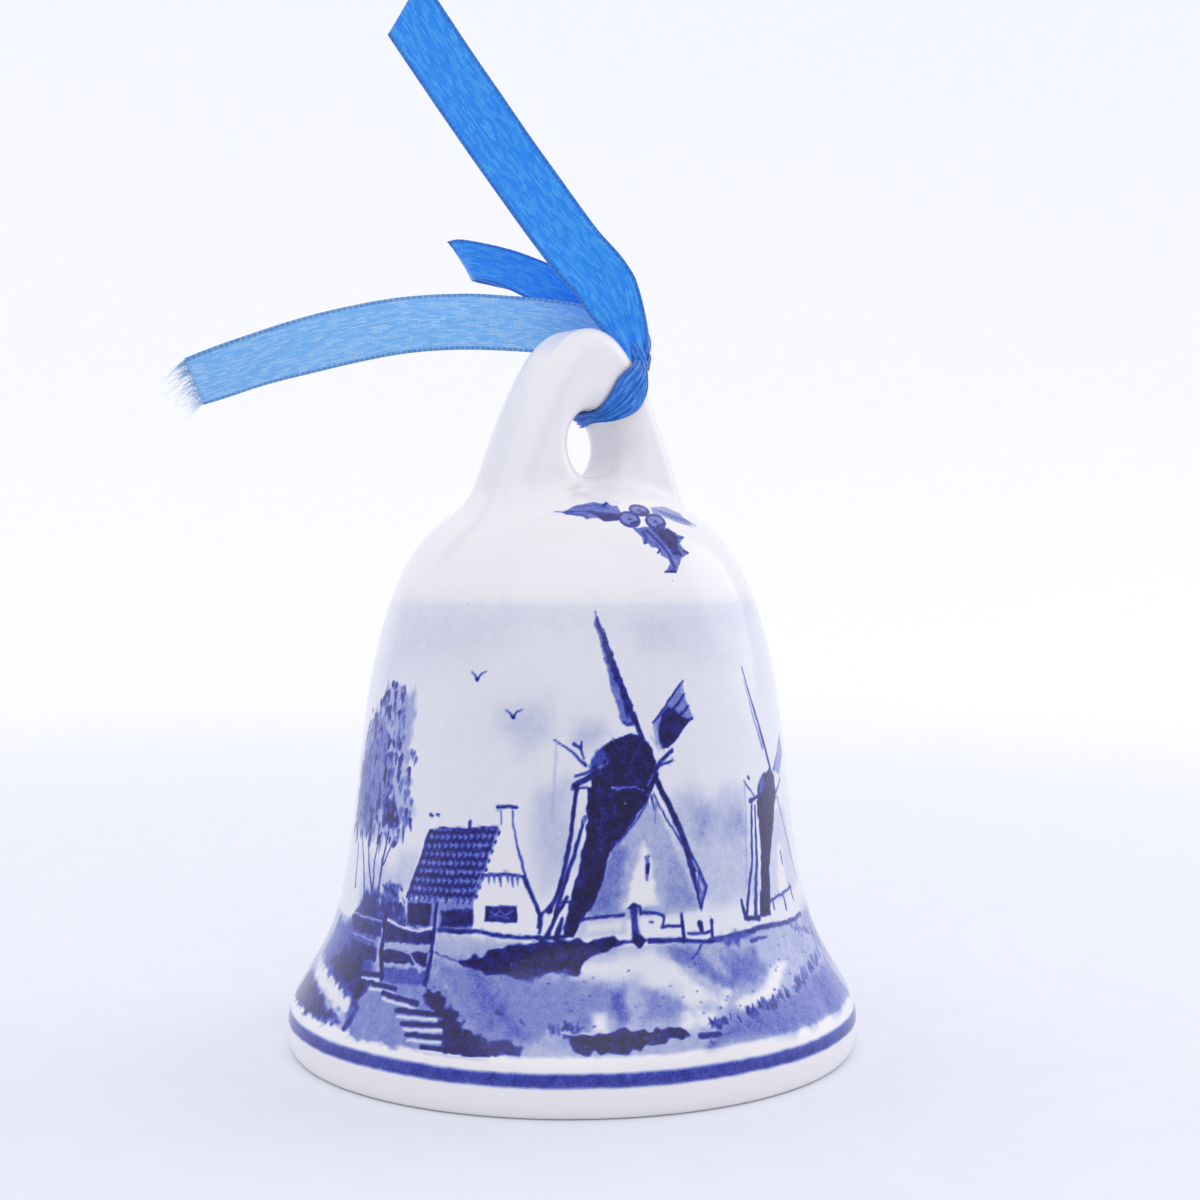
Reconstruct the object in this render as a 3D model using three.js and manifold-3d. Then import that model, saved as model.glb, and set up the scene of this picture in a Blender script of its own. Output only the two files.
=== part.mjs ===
// A small porcelain hand bell with a moulded loop handle, a hanging clapper on two
// linked wire eyes, and a satin ribbon tied round the handle.
// Millimetres, +Z up. The origin is the centre of the foot ring, on the surface that the
// bell stands on. The handle's loop lies in the XZ plane, so its hole runs along Y.
import * as THREE from 'three';
import { mergeVertices } from 'three/addons/utils/BufferGeometryUtils.js';
import Module from 'manifold-3d';

const wasm = await Module();
wasm.setup();

// ---- Driving dimensions ------------------------------------------------------------
// Shell, as radii and heights of the outside.
const rimRadius = 29.6;
const rimHeight = 2.7;
const rimRound = 0.8;
const flareRadius = 24.4;
const flareHeight = 14.8;
const flareSlope = 0.243;
const rimReach = 3.5;
const flareReach = 6.3;
const shoulderRadius = 20.6;
const shoulderHeight = 40.8;
const shoulderSlope = 0.236;
const wallReach = 7.7;
const shoulderReach = 10.8;
const crownReach = 14.1;
const crownHeight = 58;
const wallThickness = 3;

// Loop handle: heights are above the crown's top.
const loopHeight = 16.5;
const loopHoleRadius = 3.9;
const loopHoleRise = 4.2;
const loopFootHalf = 12;
const loopFootDrop = 0.6;
const loopFlare = 2.6;
const loopFlareDrop = 4;
const loopRoot = 8;
const loopBreadth = 8.4;
const loopRound = 2.4;
const loopShift = 0.8;

// Clapper and the wire that hangs it.
const wireRadius = 0.5;
const stapleRadius = 0.6;
const stapleHalf = 1.8;
const stapleDrop = 2.8;
const stapleDepth = 2.4;
const plugRadius = 6.5;
const plugThickness = 4;
const linkRadius = 2.4;
const eyeRadius = 1.6;
const beadRadius = 6.2;
const stemLength = 28.3;
const ferruleRadius = 1.6;
const ferruleLength = 1.5;
const stemTail = 0.4;

// Ribbon.
const ribbonWidth = 6;
const ribbonThickness = 0.6;
const wrapAngle = THREE.MathUtils.degToRad(35);
const wrapLength = 4.4;
const wrapThickness = 0.9;
const knotHalf = [2.5, 2.8, 2.6];
const knotReach = 1.9;
const knotSide = -1.9;
const tieTurn = THREE.MathUtils.degToRad(-40);

// Clearances.
const fit = 0.3;

// ---- Materials ---------------------------------------------------------------------
const glaze = { color: 0xeeeff3, roughness: 0.12, metalness: 0 };
const cement = { color: 0xcfcac0, roughness: 0.9, metalness: 0 };
const steel = { color: 0xb4b6b8, roughness: 0.35, metalness: 1 };
const brass = { color: 0xc9a45c, roughness: 0.35, metalness: 1 };
const satin = { color: 0x2f86e0, roughness: 0.45, metalness: 0 };

// ---- Solids ------------------------------------------------------------------------
/** A closed mesh whose shared corners are merged, as a solid for joining and cutting. */
function toSolid(geometry) {
  const bare = geometry.clone();
  bare.deleteAttribute('normal');
  bare.deleteAttribute('uv');
  const merged = mergeVertices(bare, 1e-4);
  const index = Array.from(merged.index.array);
  const triangles = [];
  for (let i = 0; i < index.length; i += 3) {
    const [a, b, c] = index.slice(i, i + 3);
    if (a !== b && b !== c && c !== a) triangles.push(a, b, c);
  }
  return new wasm.Manifold(new wasm.Mesh({
    numProp: 3,
    vertProperties: new Float32Array(merged.attributes.position.array),
    triVerts: new Uint32Array(triangles),
  }));
}

/** The surface of a solid, as a geometry. */
function toGeometry(solid) {
  const { vertProperties, triVerts } = solid.getMesh();
  const geometry = new THREE.BufferGeometry();
  geometry.setAttribute('position', new THREE.BufferAttribute(vertProperties, 3));
  geometry.setIndex(new THREE.BufferAttribute(triVerts, 1));
  return geometry;
}

/** A named sub-part with a material of its own. */
function part(name, geometry, finish) {
  const mesh = new THREE.Mesh(geometry, new THREE.MeshStandardMaterial(finish));
  mesh.name = name;
  return mesh;
}

/** A solid of revolution about Z from [radius, height] points, bottom to top. */
function turned(points, segments) {
  const profile = points.map(([r, z]) => new THREE.Vector2(r, z));
  return new THREE.LatheGeometry(profile, segments).rotateX(Math.PI / 2);
}

/** A flat path drawn in x and z, as a curve in space in the plane y = 0. */
function uprightCurve(path, divisions) {
  const points = path.getSpacedPoints(divisions);
  return new THREE.CatmullRomCurve3(points.map((p) => new THREE.Vector3(p.x, 0, p.y)));
}

/** Round wire along a curve. */
function wire(curve, radius, steps) {
  const section = new THREE.Shape().absarc(0, 0, radius, 0, 2 * Math.PI);
  return new THREE.ExtrudeGeometry(section, {
    steps,
    curveSegments: 4,
    bevelEnabled: false,
    extrudePath: curve,
  });
}

// ---- Shell profile -----------------------------------------------------------------
const outside = new THREE.CurvePath();
const v2 = (x, y) => new THREE.Vector2(x, y);
outside.add(new THREE.QuadraticBezierCurve(
  v2(rimRadius - rimRound, 0),
  v2(rimRadius, 0),
  v2(rimRadius, rimHeight),
));
outside.add(new THREE.CubicBezierCurve(
  v2(rimRadius, rimHeight),
  v2(rimRadius, rimHeight + rimReach),
  v2(flareRadius + flareSlope * flareReach, flareHeight - flareReach),
  v2(flareRadius, flareHeight),
));
outside.add(new THREE.CubicBezierCurve(
  v2(flareRadius, flareHeight),
  v2(flareRadius - flareSlope * wallReach, flareHeight + wallReach),
  v2(shoulderRadius + shoulderSlope * wallReach, shoulderHeight - wallReach),
  v2(shoulderRadius, shoulderHeight),
));
outside.add(new THREE.CubicBezierCurve(
  v2(shoulderRadius, shoulderHeight),
  v2(shoulderRadius - shoulderSlope * shoulderReach, shoulderHeight + shoulderReach),
  v2(crownReach, crownHeight),
  v2(0, crownHeight),
));

/** Some of the outside's curves moved inwards by a depth, as [radius, height] points. */
function profileAt(curves, depth, divisionsPerCurve) {
  const points = [];
  curves.forEach((curve, n) => {
    for (let i = n === 0 ? 0 : 1; i <= divisionsPerCurve; i += 1) {
      const t = i / divisionsPerCurve;
      const at = curve.getPoint(t);
      const along = curve.getTangent(t);
      points.push([Math.max(at.x - depth * along.y, 0), at.y + depth * along.x]);
    }
  });
  return points;
}

/** The shell's outside as a full solid. */
function shellSolid() {
  return toSolid(turned([[0, 0], ...profileAt(outside.curves, 0, 6)], 48));
}

/** The space inside the shell, made smaller by a clearance, down to below the foot. */
function cavitySolid(clearance) {
  const depth = wallThickness + clearance;
  const [, ...aboveRim] = outside.curves;
  const mouth = rimRadius - depth;
  return toSolid(turned([[0, -1], [mouth, -1], ...profileAt(aboveRim, depth, 6)], 48));
}

// ---- Handle ------------------------------------------------------------------------
const loopTop = crownHeight + loopHeight;
const holeHeight = crownHeight + loopHoleRise;
const footHeight = crownHeight - loopFootDrop;

/** One side of the handle's outline, from its top down to its foot, for side +1 or -1. */
function loopSide(side) {
  return new THREE.CubicBezierCurve(
    v2(0, loopTop),
    v2(side * loopFootHalf * 0.43, loopTop),
    v2(side * loopFootHalf * 0.75, footHeight + loopHeight * 0.46),
    v2(side * loopFootHalf, footHeight),
  );
}

/** Distance from the hole's centre to the handle's outside, at an angle from straight up. */
function loopOutsideAt(angle) {
  const points = loopSide(1).getPoints(200).map((p) => v2(p.x, p.y - holeHeight));
  const miss = (p) => Math.abs(Math.atan2(p.x, p.y) - angle);
  return points.reduce((best, p) => (miss(p) < miss(best) ? p : best)).length();
}

const thinnestAngle = THREE.MathUtils.degToRad(45);
const strapThinnest = loopOutsideAt(thinnestAngle) - loopHoleRadius;
const edgeRound = Math.min(loopRound, 0.45 * strapThinnest);

/** The handle as a solid. A clearance makes it that much larger all over. */
function loopSolid(clearance) {
  const outline = new THREE.Shape();
  const side = loopSide(1).getPoints(9);
  const flareBottom = footHeight - loopFlareDrop;
  const bottom = flareBottom - loopRoot;
  outline.moveTo(0, loopTop);
  side.slice(1).forEach((p) => outline.lineTo(p.x, p.y));
  outline.lineTo(loopFootHalf + loopFlare * 0.35, footHeight - loopFlareDrop * 0.6);
  outline.lineTo(loopFootHalf + loopFlare, flareBottom);
  outline.lineTo(loopFootHalf + loopFlare, bottom);
  outline.lineTo(-loopFootHalf - loopFlare, bottom);
  outline.lineTo(-loopFootHalf - loopFlare, flareBottom);
  outline.lineTo(-loopFootHalf - loopFlare * 0.35, footHeight - loopFlareDrop * 0.6);
  side.slice(1).reverse().forEach((p) => outline.lineTo(-p.x, p.y));
  outline.holes.push(new THREE.Path().absarc(0, holeHeight, loopHoleRadius, 0, 2 * Math.PI));
  const geometry = new THREE.ExtrudeGeometry(outline, {
    depth: loopBreadth - 2 * edgeRound,
    curveSegments: 10,
    bevelSize: edgeRound,
    bevelOffset: clearance - edgeRound,
    bevelThickness: edgeRound + clearance,
    bevelSegments: 3,
  });
  geometry.translate(loopShift, 0, edgeRound - loopBreadth / 2);
  return toSolid(geometry.rotateX(Math.PI / 2));
}

const bellSolid = shellSolid().add(loopSolid(0)).subtract(cavitySolid(0));

// ---- Crown plug and staple -----------------------------------------------------------
const cavityTop = crownHeight - wallThickness;
const plugBottom = cavityTop - fit - plugThickness;
const barHeight = plugBottom - stapleDrop;
const stapleTop = plugBottom + stapleDepth;

/** The cement plug: a dome under the crown, with a flat face below and two wire holes. */
function plugSolid() {
  const pad = new THREE.CylinderGeometry(plugRadius, plugRadius, 2 * plugThickness, 32);
  pad.rotateX(Math.PI / 2).translate(0, 0, plugBottom + plugThickness);
  let plug = toSolid(pad).intersect(cavitySolid(fit));
  for (const side of [-1, 1]) {
    const radius = stapleRadius + fit;
    const length = stapleDepth + 2 * fit;
    const hole = new THREE.CylinderGeometry(radius, radius, length, 12).rotateX(Math.PI / 2);
    plug = plug.subtract(toSolid(hole.translate(side * stapleHalf, 0, plugBottom + length / 2 - fit)));
  }
  return plug;
}

/** The staple: a wire U with its two ends in the plug and its bend below it. */
function stapleGeometry() {
  const path = new THREE.Path();
  path.moveTo(-stapleHalf, stapleTop);
  path.lineTo(-stapleHalf, barHeight + stapleHalf);
  path.absarc(0, barHeight + stapleHalf, stapleHalf, Math.PI, 2 * Math.PI);
  path.lineTo(stapleHalf, stapleTop);
  return wire(uprightCurve(path, 40), stapleRadius, 24);
}

// ---- Link and clapper ------------------------------------------------------------------
const linkTop = barHeight + stapleRadius + fit + wireRadius;
const linkCentre = linkTop - linkRadius;
const linkBottom = linkCentre - linkRadius;
const eyeCentre = linkBottom + 2 * wireRadius + fit - eyeRadius;
const eyeBottom = eyeCentre - eyeRadius;
const beadHeight = eyeBottom - stemLength;
const ferruleTop = beadHeight - beadRadius - fit;
const stemBottom = ferruleTop - ferruleLength - stemTail;

/** A closed wire ring in the XZ plane. */
function ring(radius, height) {
  return new THREE.TorusGeometry(radius, wireRadius, 8, 24).rotateX(Math.PI / 2)
    .translate(0, 0, height);
}

/** The clapper's wire: an eye at the top and a straight stem through the bead. */
function stemSolid() {
  const length = eyeBottom - stemBottom;
  const stem = new THREE.CylinderGeometry(wireRadius, wireRadius, length, 8);
  stem.rotateX(Math.PI / 2).translate(0, 0, stemBottom + length / 2);
  return toSolid(stem).add(toSolid(ring(eyeRadius, eyeCentre)));
}

/** The bead: a ball with a bore along Z for the stem. */
function beadGeometry() {
  const bore = wireRadius + fit;
  const reach = Math.acos(bore / beadRadius);
  const points = [];
  const divisions = 14;
  for (let i = 0; i <= divisions; i += 1) {
    const angle = reach * (2 * i / divisions - 1);
    points.push([beadRadius * Math.cos(angle), beadHeight + beadRadius * Math.sin(angle)]);
  }
  return turned([...points, points[0]], 24);
}

/** The ferrule: a short crimped tube under the bead. */
function ferruleGeometry() {
  const bore = wireRadius + fit;
  const low = ferruleTop - ferruleLength;
  const points = [[bore, low], [ferruleRadius, low], [ferruleRadius, ferruleTop], [bore, ferruleTop]];
  return turned([...points, points[0]], 16);
}

const link = new THREE.TorusGeometry(linkRadius, wireRadius, 8, 24).rotateY(Math.PI / 2)
  .translate(0, 0, linkCentre);

// ---- Ribbon ------------------------------------------------------------------------------
const wrapOutside = loopOutsideAt(wrapAngle);
const wrapIn = loopHoleRadius - fit - wrapThickness;
const wrapOut = wrapOutside + fit + wrapThickness;

/** The band's outer shape: a block with round edges across the handle's upper right. */
function wrapBlock(clearance) {
  const halfX = (wrapOut - wrapIn) / 2 + clearance;
  const halfY = loopBreadth / 2 + fit + wrapThickness + clearance;
  const round = edgeRound + wrapThickness;
  const section = new THREE.Shape();
  section.moveTo(-halfX + round, -halfY);
  section.absarc(halfX - round, -halfY + round, round, -Math.PI / 2, 0);
  section.absarc(halfX - round, halfY - round, round, 0, Math.PI / 2);
  section.absarc(-halfX + round, halfY - round, round, Math.PI / 2, Math.PI);
  section.absarc(-halfX + round, -halfY + round, round, Math.PI, 1.5 * Math.PI);
  const depth = wrapLength + 2 * clearance;
  const geometry = new THREE.ExtrudeGeometry(section, { depth, curveSegments: 6, bevelEnabled: false });
  const outward = new THREE.Vector3(Math.sin(wrapAngle), 0, Math.cos(wrapAngle));
  const across = new THREE.Vector3(0, 1, 0);
  const along = outward.clone().cross(across);
  geometry.translate((wrapIn + wrapOut) / 2, 0, -depth / 2);
  geometry.applyMatrix4(new THREE.Matrix4().makeBasis(outward, across, along));
  return toSolid(geometry.translate(loopShift, 0, holeHeight));
}

const knotCentre = new THREE.Vector3(
  loopShift + (wrapOutside + knotReach) * Math.sin(wrapAngle),
  knotSide,
  holeHeight + (wrapOutside + knotReach) * Math.cos(wrapAngle),
);

/** The knot: a rounded lump that sits on the band. */
function knotSolid() {
  const lump = new THREE.SphereGeometry(1, 16, 10).scale(...knotHalf);
  lump.rotateZ(tieTurn).translate(...knotCentre);
  return toSolid(lump).subtract(wrapBlock(fit)).subtract(loopSolid(fit));
}

/** Flat ribbon along points given from the knot's centre, wide towards a direction. */
function ribbon(points, wide) {
  const curve = new THREE.CatmullRomCurve3(points.map((p) => new THREE.Vector3(...p)));
  const steps = Math.round(curve.getLength() / (ribbonWidth / 3));
  const frames = curve.computeFrenetFrames(steps, false);
  const across = new THREE.Vector3(...wide);
  const turn = Math.atan2(across.dot(frames.binormals[0]), across.dot(frames.normals[0]));
  const section = new THREE.Shape();
  const corners = [[-1, -1], [1, -1], [1, 1], [-1, 1]].map(([u, v]) => {
    const corner = v2(u * ribbonWidth / 2, v * ribbonThickness / 2);
    return corner.rotateAround(v2(0, 0), turn);
  });
  section.setFromPoints(corners);
  return new THREE.ExtrudeGeometry(section, { steps, bevelEnabled: false, extrudePath: curve });
}

// Routes, from the knot's centre, in a frame turned so that x runs along the tails.
const upTailRoute = [
  [-0.4, -0.5, 3.1], [-1.3, -1, 6.4], [-2.7, -1.3, 9.1], [-4.9, -1.8, 11.7],
  [-10.4, -2.6, 19], [-16.7, -3.5, 27.9], [-22.8, -4.2, 36.7],
];
const sideTailRoute = [
  [-2.2, 3, 2.5], [-5.4, 4, 3.3], [-9.9, 3.7, 4], [-14.9, 2.9, 4.3], [-19.3, 1.9, 4.3],
  [-25.7, 0.8, 3.7], [-33, -0.3, 2.1], [-40.4, -1.3, -0.1], [-48, -2.3, -2.9],
];
const backLoopRoute = [
  [-1.3, 4.4, 3.8], [-4.1, 5.3, 5.9], [-10.1, 5.3, 8.9], [-15.1, 5.3, 10.8], [-18.8, 5.3, 11.5],
  [-20.2, 6.5, 11.6], [-18.8, 7.7, 11.5], [-15.1, 7.7, 10.8], [-10.1, 7.7, 8.9], [-4.1, 7.7, 5.9],
  [-1, 6.8, 3.6],
];

const tails = new THREE.Group();
tails.position.copy(knotCentre);
tails.rotation.z = tieTurn;
tails.add(
  part('ribbon_tail_up', ribbon(upTailRoute, [1, 0, 0.5]), satin),
  part('ribbon_tail_side', ribbon(sideTailRoute, [0, 0, 1]), satin),
  part('ribbon_back_loop', ribbon(backLoopRoute, [0.5, 0, 1]), satin),
);

// ---- Assembly ----------------------------------------------------------------------------
const object = new THREE.Group();
object.add(
  part('bell_body', toGeometry(bellSolid), glaze),
  part('crown_plug', toGeometry(plugSolid()), cement),
  part('staple', stapleGeometry(), steel),
  part('hanger_link', link, steel),
  part('clapper_stem', toGeometry(stemSolid()), steel),
  part('clapper_bead', beadGeometry(), glaze),
  part('clapper_ferrule', ferruleGeometry(), brass),
  part('ribbon_wrap', toGeometry(wrapBlock(0).subtract(loopSolid(fit))), satin),
  part('ribbon_knot', toGeometry(knotSolid()), satin),
  tails,
);

export default object;
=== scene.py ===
"""Looks of a small painted porcelain bell with a satin ribbon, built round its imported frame."""

import logging
import math
from collections.abc import Callable
from dataclasses import dataclass, field
from enum import Enum

import bpy
import numpy as np
from bpy.types import Material, Node, NodeSocket, NodeTree, Object
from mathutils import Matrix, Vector
from numpy import ndarray as Array


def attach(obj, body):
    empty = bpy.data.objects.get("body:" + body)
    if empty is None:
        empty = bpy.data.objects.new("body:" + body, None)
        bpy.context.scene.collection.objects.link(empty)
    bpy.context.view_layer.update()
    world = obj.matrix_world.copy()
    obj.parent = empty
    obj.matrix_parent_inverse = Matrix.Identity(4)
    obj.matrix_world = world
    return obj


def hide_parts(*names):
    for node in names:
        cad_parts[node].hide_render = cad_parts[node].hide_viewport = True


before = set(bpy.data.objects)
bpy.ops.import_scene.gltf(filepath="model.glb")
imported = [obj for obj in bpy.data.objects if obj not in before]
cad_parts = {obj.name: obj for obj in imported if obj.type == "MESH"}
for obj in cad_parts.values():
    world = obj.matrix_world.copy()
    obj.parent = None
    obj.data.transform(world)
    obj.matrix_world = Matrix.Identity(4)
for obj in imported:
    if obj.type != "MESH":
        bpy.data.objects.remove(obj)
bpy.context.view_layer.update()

MM = 0.001
LOG = logging.getLogger("bell")
# The painting's middle faces this far round from the handle's flat side.
VIEW_TURN = math.radians(40)
PAINT_RADIUS = 24.0               # radius on which the painting is laid out flat, mm

Points = list[tuple[float, float]]


class Body(Enum):
    """The frame's moving bodies that a piece rides on."""

    BELL = "bell"
    LINK = "link"
    CLAPPER = "clapper"


class Slot(Enum):
    """The record's material slots."""

    PORCELAIN = "porcelain"
    BEAD = "bead_porcelain"
    CEMENT = "cement"
    STEEL = "steel_wire"
    BRASS = "brass"
    RIBBON = "satin_ribbon"


class Sheet(Enum):
    """The two flat layouts that the painting is drawn on."""

    WALL = "wall"              # millimetres round the wall, and millimetres up
    SHOULDER = "shoulder"      # millimetres sideways and up, as the shoulder is met from the front


class SatinSide(Enum):
    """Which side or state of the ribbon shows."""

    # The face is drawn paler than the reverse: partly satin's shinier face, partly painted sheen.
    FACE = "face"
    REVERSE = "reverse"
    # The gathered wrap and knot are drawn deeper: painted shade for their folds.
    GATHERED = "gathered"
    FRAYED = "frayed"


# ---- Colour and nodes ------------------------------------------------------------------
def linear(code: str) -> tuple[float, float, float, float]:
    """Turns an sRGB hex colour into linear values.

    Args:
        code: Six hex digits with a leading hash.

    Returns:
        Red, green, blue and an alpha of one.
    """
    values = [int(code[i:i + 2], 16) / 255 for i in (1, 3, 5)]
    return (*[v / 12.92 if v <= 0.04045 else ((v + 0.055) / 1.055) ** 2.4 for v in values], 1.0)


def add_node(tree: NodeTree, kind: str, settings: dict | None = None,
             inputs: dict | None = None) -> Node:
    """Adds one node with its settings, values and links.

    Args:
        tree: The node tree that gets the node.
        kind: The node's type name, without ShaderNode in front.
        settings: Property names and values.
        inputs: Socket names or numbers, and either a value or the socket that feeds it.

    Returns:
        The new node.
    """
    made = tree.nodes.new("ShaderNode" + kind)
    for name, value in (settings or {}).items():
        setattr(made, name, value)
    for name, value in (inputs or {}).items():
        if isinstance(value, NodeSocket):
            tree.links.new(value, made.inputs[name])
        else:
            made.inputs[name].default_value = value
    return made


def add_ramp(tree: NodeTree, factor: NodeSocket,
             stops: list[tuple[float, str]]) -> Node:
    """Adds a colour ramp.

    Args:
        tree: The node tree.
        factor: The socket that drives the ramp.
        stops: Places from 0 to 1, each with its hex colour.

    Returns:
        The ramp node.
    """
    ramp = add_node(tree, "ValToRGB", inputs={"Fac": factor})
    band = ramp.color_ramp
    while len(band.elements) < len(stops):
        band.elements.new(0.5)
    for element, (place, code) in zip(band.elements, stops):
        element.position = place
        element.color = linear(code)
    return ramp


def new_material(name: str, roughness: float, ior: float = 1.5,
                 metallic: float = 0.0) -> tuple[Material, NodeTree, Node]:
    """Starts a material with one Principled shader.

    Args:
        name: The real material's name.
        roughness: The shader's roughness.
        ior: Its index of refraction.
        metallic: One for a metal, zero otherwise.

    Returns:
        The material, its node tree and its shader node.
    """
    material = bpy.data.materials.new(name)
    material.use_nodes = True
    tree = material.node_tree
    shader = next(n for n in tree.nodes if n.type == "BSDF_PRINCIPLED")
    shader.inputs["Roughness"].default_value = roughness
    shader.inputs["IOR"].default_value = ior
    shader.inputs["Metallic"].default_value = metallic
    return material, tree, shader


# ---- Finishes --------------------------------------------------------------------------
@dataclass(frozen=True)
class GlazedPorcelain:
    """Slip-cast hard porcelain under a clear glaze, painted in cobalt blue under the glaze.

    It gives the eye a cool white with a wet gloss, blue that thins from near black in full strokes
    to a pale milky wash, a faint grain in the blue, and a dry chalky ring where the foot was wiped.
    """

    name: str = "underglaze_blue_porcelain"
    grain: float = 0.22          # pigment grain across, mm
    mottle: float = 0.9          # pooling of the wash, mm
    ripple: float = 2.4          # the glaze's slow ripple, mm
    stops: tuple = ((0.0, "#f2f0f2"), (0.16, "#cbd0e4"), (0.36, "#8591cc"), (0.58, "#404eb6"),
                    (0.8, "#23228a"), (1.0, "#11083e"))

    def make(self) -> Material:
        """Builds the material from the piece's pigment and unglazed attributes."""
        material, tree, shader = new_material(self.name, 0.14, 1.52)
        place = add_node(tree, "TexCoord").outputs["Object"]
        pigment = add_node(tree, "Attribute", {"attribute_name": "pigment"}).outputs["Fac"]
        dry = add_node(tree, "Attribute", {"attribute_name": "unglazed"}).outputs["Fac"]
        fine = add_node(tree, "TexNoise", inputs={
            "Vector": place, "Scale": 1 / (self.grain * MM), "Detail": 2.0, "Roughness": 0.6})
        pool = add_node(tree, "TexNoise", inputs={
            "Vector": place, "Scale": 1 / (self.mottle * MM), "Detail": 3.0, "Roughness": 0.55})
        both = add_node(tree, "Math", {"operation": "ADD"},
                        {0: fine.outputs["Fac"], 1: pool.outputs["Fac"]})
        centred = add_node(tree, "Math", {"operation": "SUBTRACT"},
                           {0: both.outputs[0], 1: 1.0})
        share = add_node(tree, "Math", {"operation": "MULTIPLY"},
                         {0: centred.outputs[0], 1: pigment})
        # The grain is strongest in a middle tone, and shows as breaks in a dark one.
        mottled = add_node(tree, "Math", {"operation": "MULTIPLY_ADD"},
                           {0: share.outputs[0], 1: 0.62, 2: pigment})
        ramp = add_ramp(tree, mottled.outputs[0], list(self.stops))
        # Kiln specks: rare grey dots about 0.2 mm across in the white.
        cells = add_node(tree, "TexVoronoi", inputs={"Vector": place, "Scale": 1 / (2.6 * MM)})
        speck = add_node(tree, "MapRange", inputs={
            "Value": cells.outputs["Distance"], "From Min": 0.03, "From Max": 0.05,
            "To Min": 0.55, "To Max": 0.0})
        chance = add_node(tree, "SeparateColor", inputs={0: cells.outputs["Color"]})
        rare = add_node(tree, "Math", {"operation": "LESS_THAN"},
                        {0: chance.outputs[0], 1: 0.12})
        spots = add_node(tree, "Math", {"operation": "MULTIPLY"},
                         {0: speck.outputs[0], 1: rare.outputs[0]})
        specked = add_node(tree, "Mix", {"data_type": "RGBA"}, {
            "Factor": spots.outputs[0], 6: ramp.outputs["Color"], 7: linear("#8d8ea2")})
        bisque = add_ramp(tree, fine.outputs["Fac"], [(0.3, "#d9d2c6"), (0.7, "#ece7de")])
        colour = add_node(tree, "Mix", {"data_type": "RGBA"}, {
            "Factor": dry, 6: specked.outputs[2], 7: bisque.outputs["Color"]})
        tree.links.new(colour.outputs[2], shader.inputs["Base Color"])
        gloss = add_node(tree, "MapRange", inputs={
            "Value": dry, "To Min": 0.14, "To Max": 0.82})
        tree.links.new(gloss.outputs[0], shader.inputs["Roughness"])
        wave = add_node(tree, "TexNoise", inputs={
            "Vector": place, "Scale": 1 / (self.ripple * MM), "Detail": 1.0})
        bump = add_node(tree, "Bump", inputs={
            "Height": wave.outputs["Fac"], "Strength": 0.12, "Distance": 0.05 * MM})
        tree.links.new(bump.outputs["Normal"], shader.inputs["Normal"])
        return material


@dataclass(frozen=True)
class WhiteGlaze:
    """Small porcelain bead dipped in clear glaze: plain cool white with a wet gloss."""

    name: str = "white_glazed_porcelain"

    def make(self) -> Material:
        """Builds the material."""
        material, tree, shader = new_material(self.name, 0.12, 1.52)
        place = add_node(tree, "TexCoord").outputs["Object"]
        cloud = add_node(tree, "TexNoise", inputs={
            "Vector": place, "Scale": 1 / (3 * MM), "Detail": 3.0})
        ramp = add_ramp(tree, cloud.outputs["Fac"], [(0.3, "#e9e9ef"), (0.7, "#f4f3f6")])
        tree.links.new(ramp.outputs["Color"], shader.inputs["Base Color"])
        bump = add_node(tree, "Bump", inputs={
            "Height": cloud.outputs["Fac"], "Strength": 0.15, "Distance": 0.05 * MM})
        tree.links.new(bump.outputs["Normal"], shader.inputs["Normal"])
        return material


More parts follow.
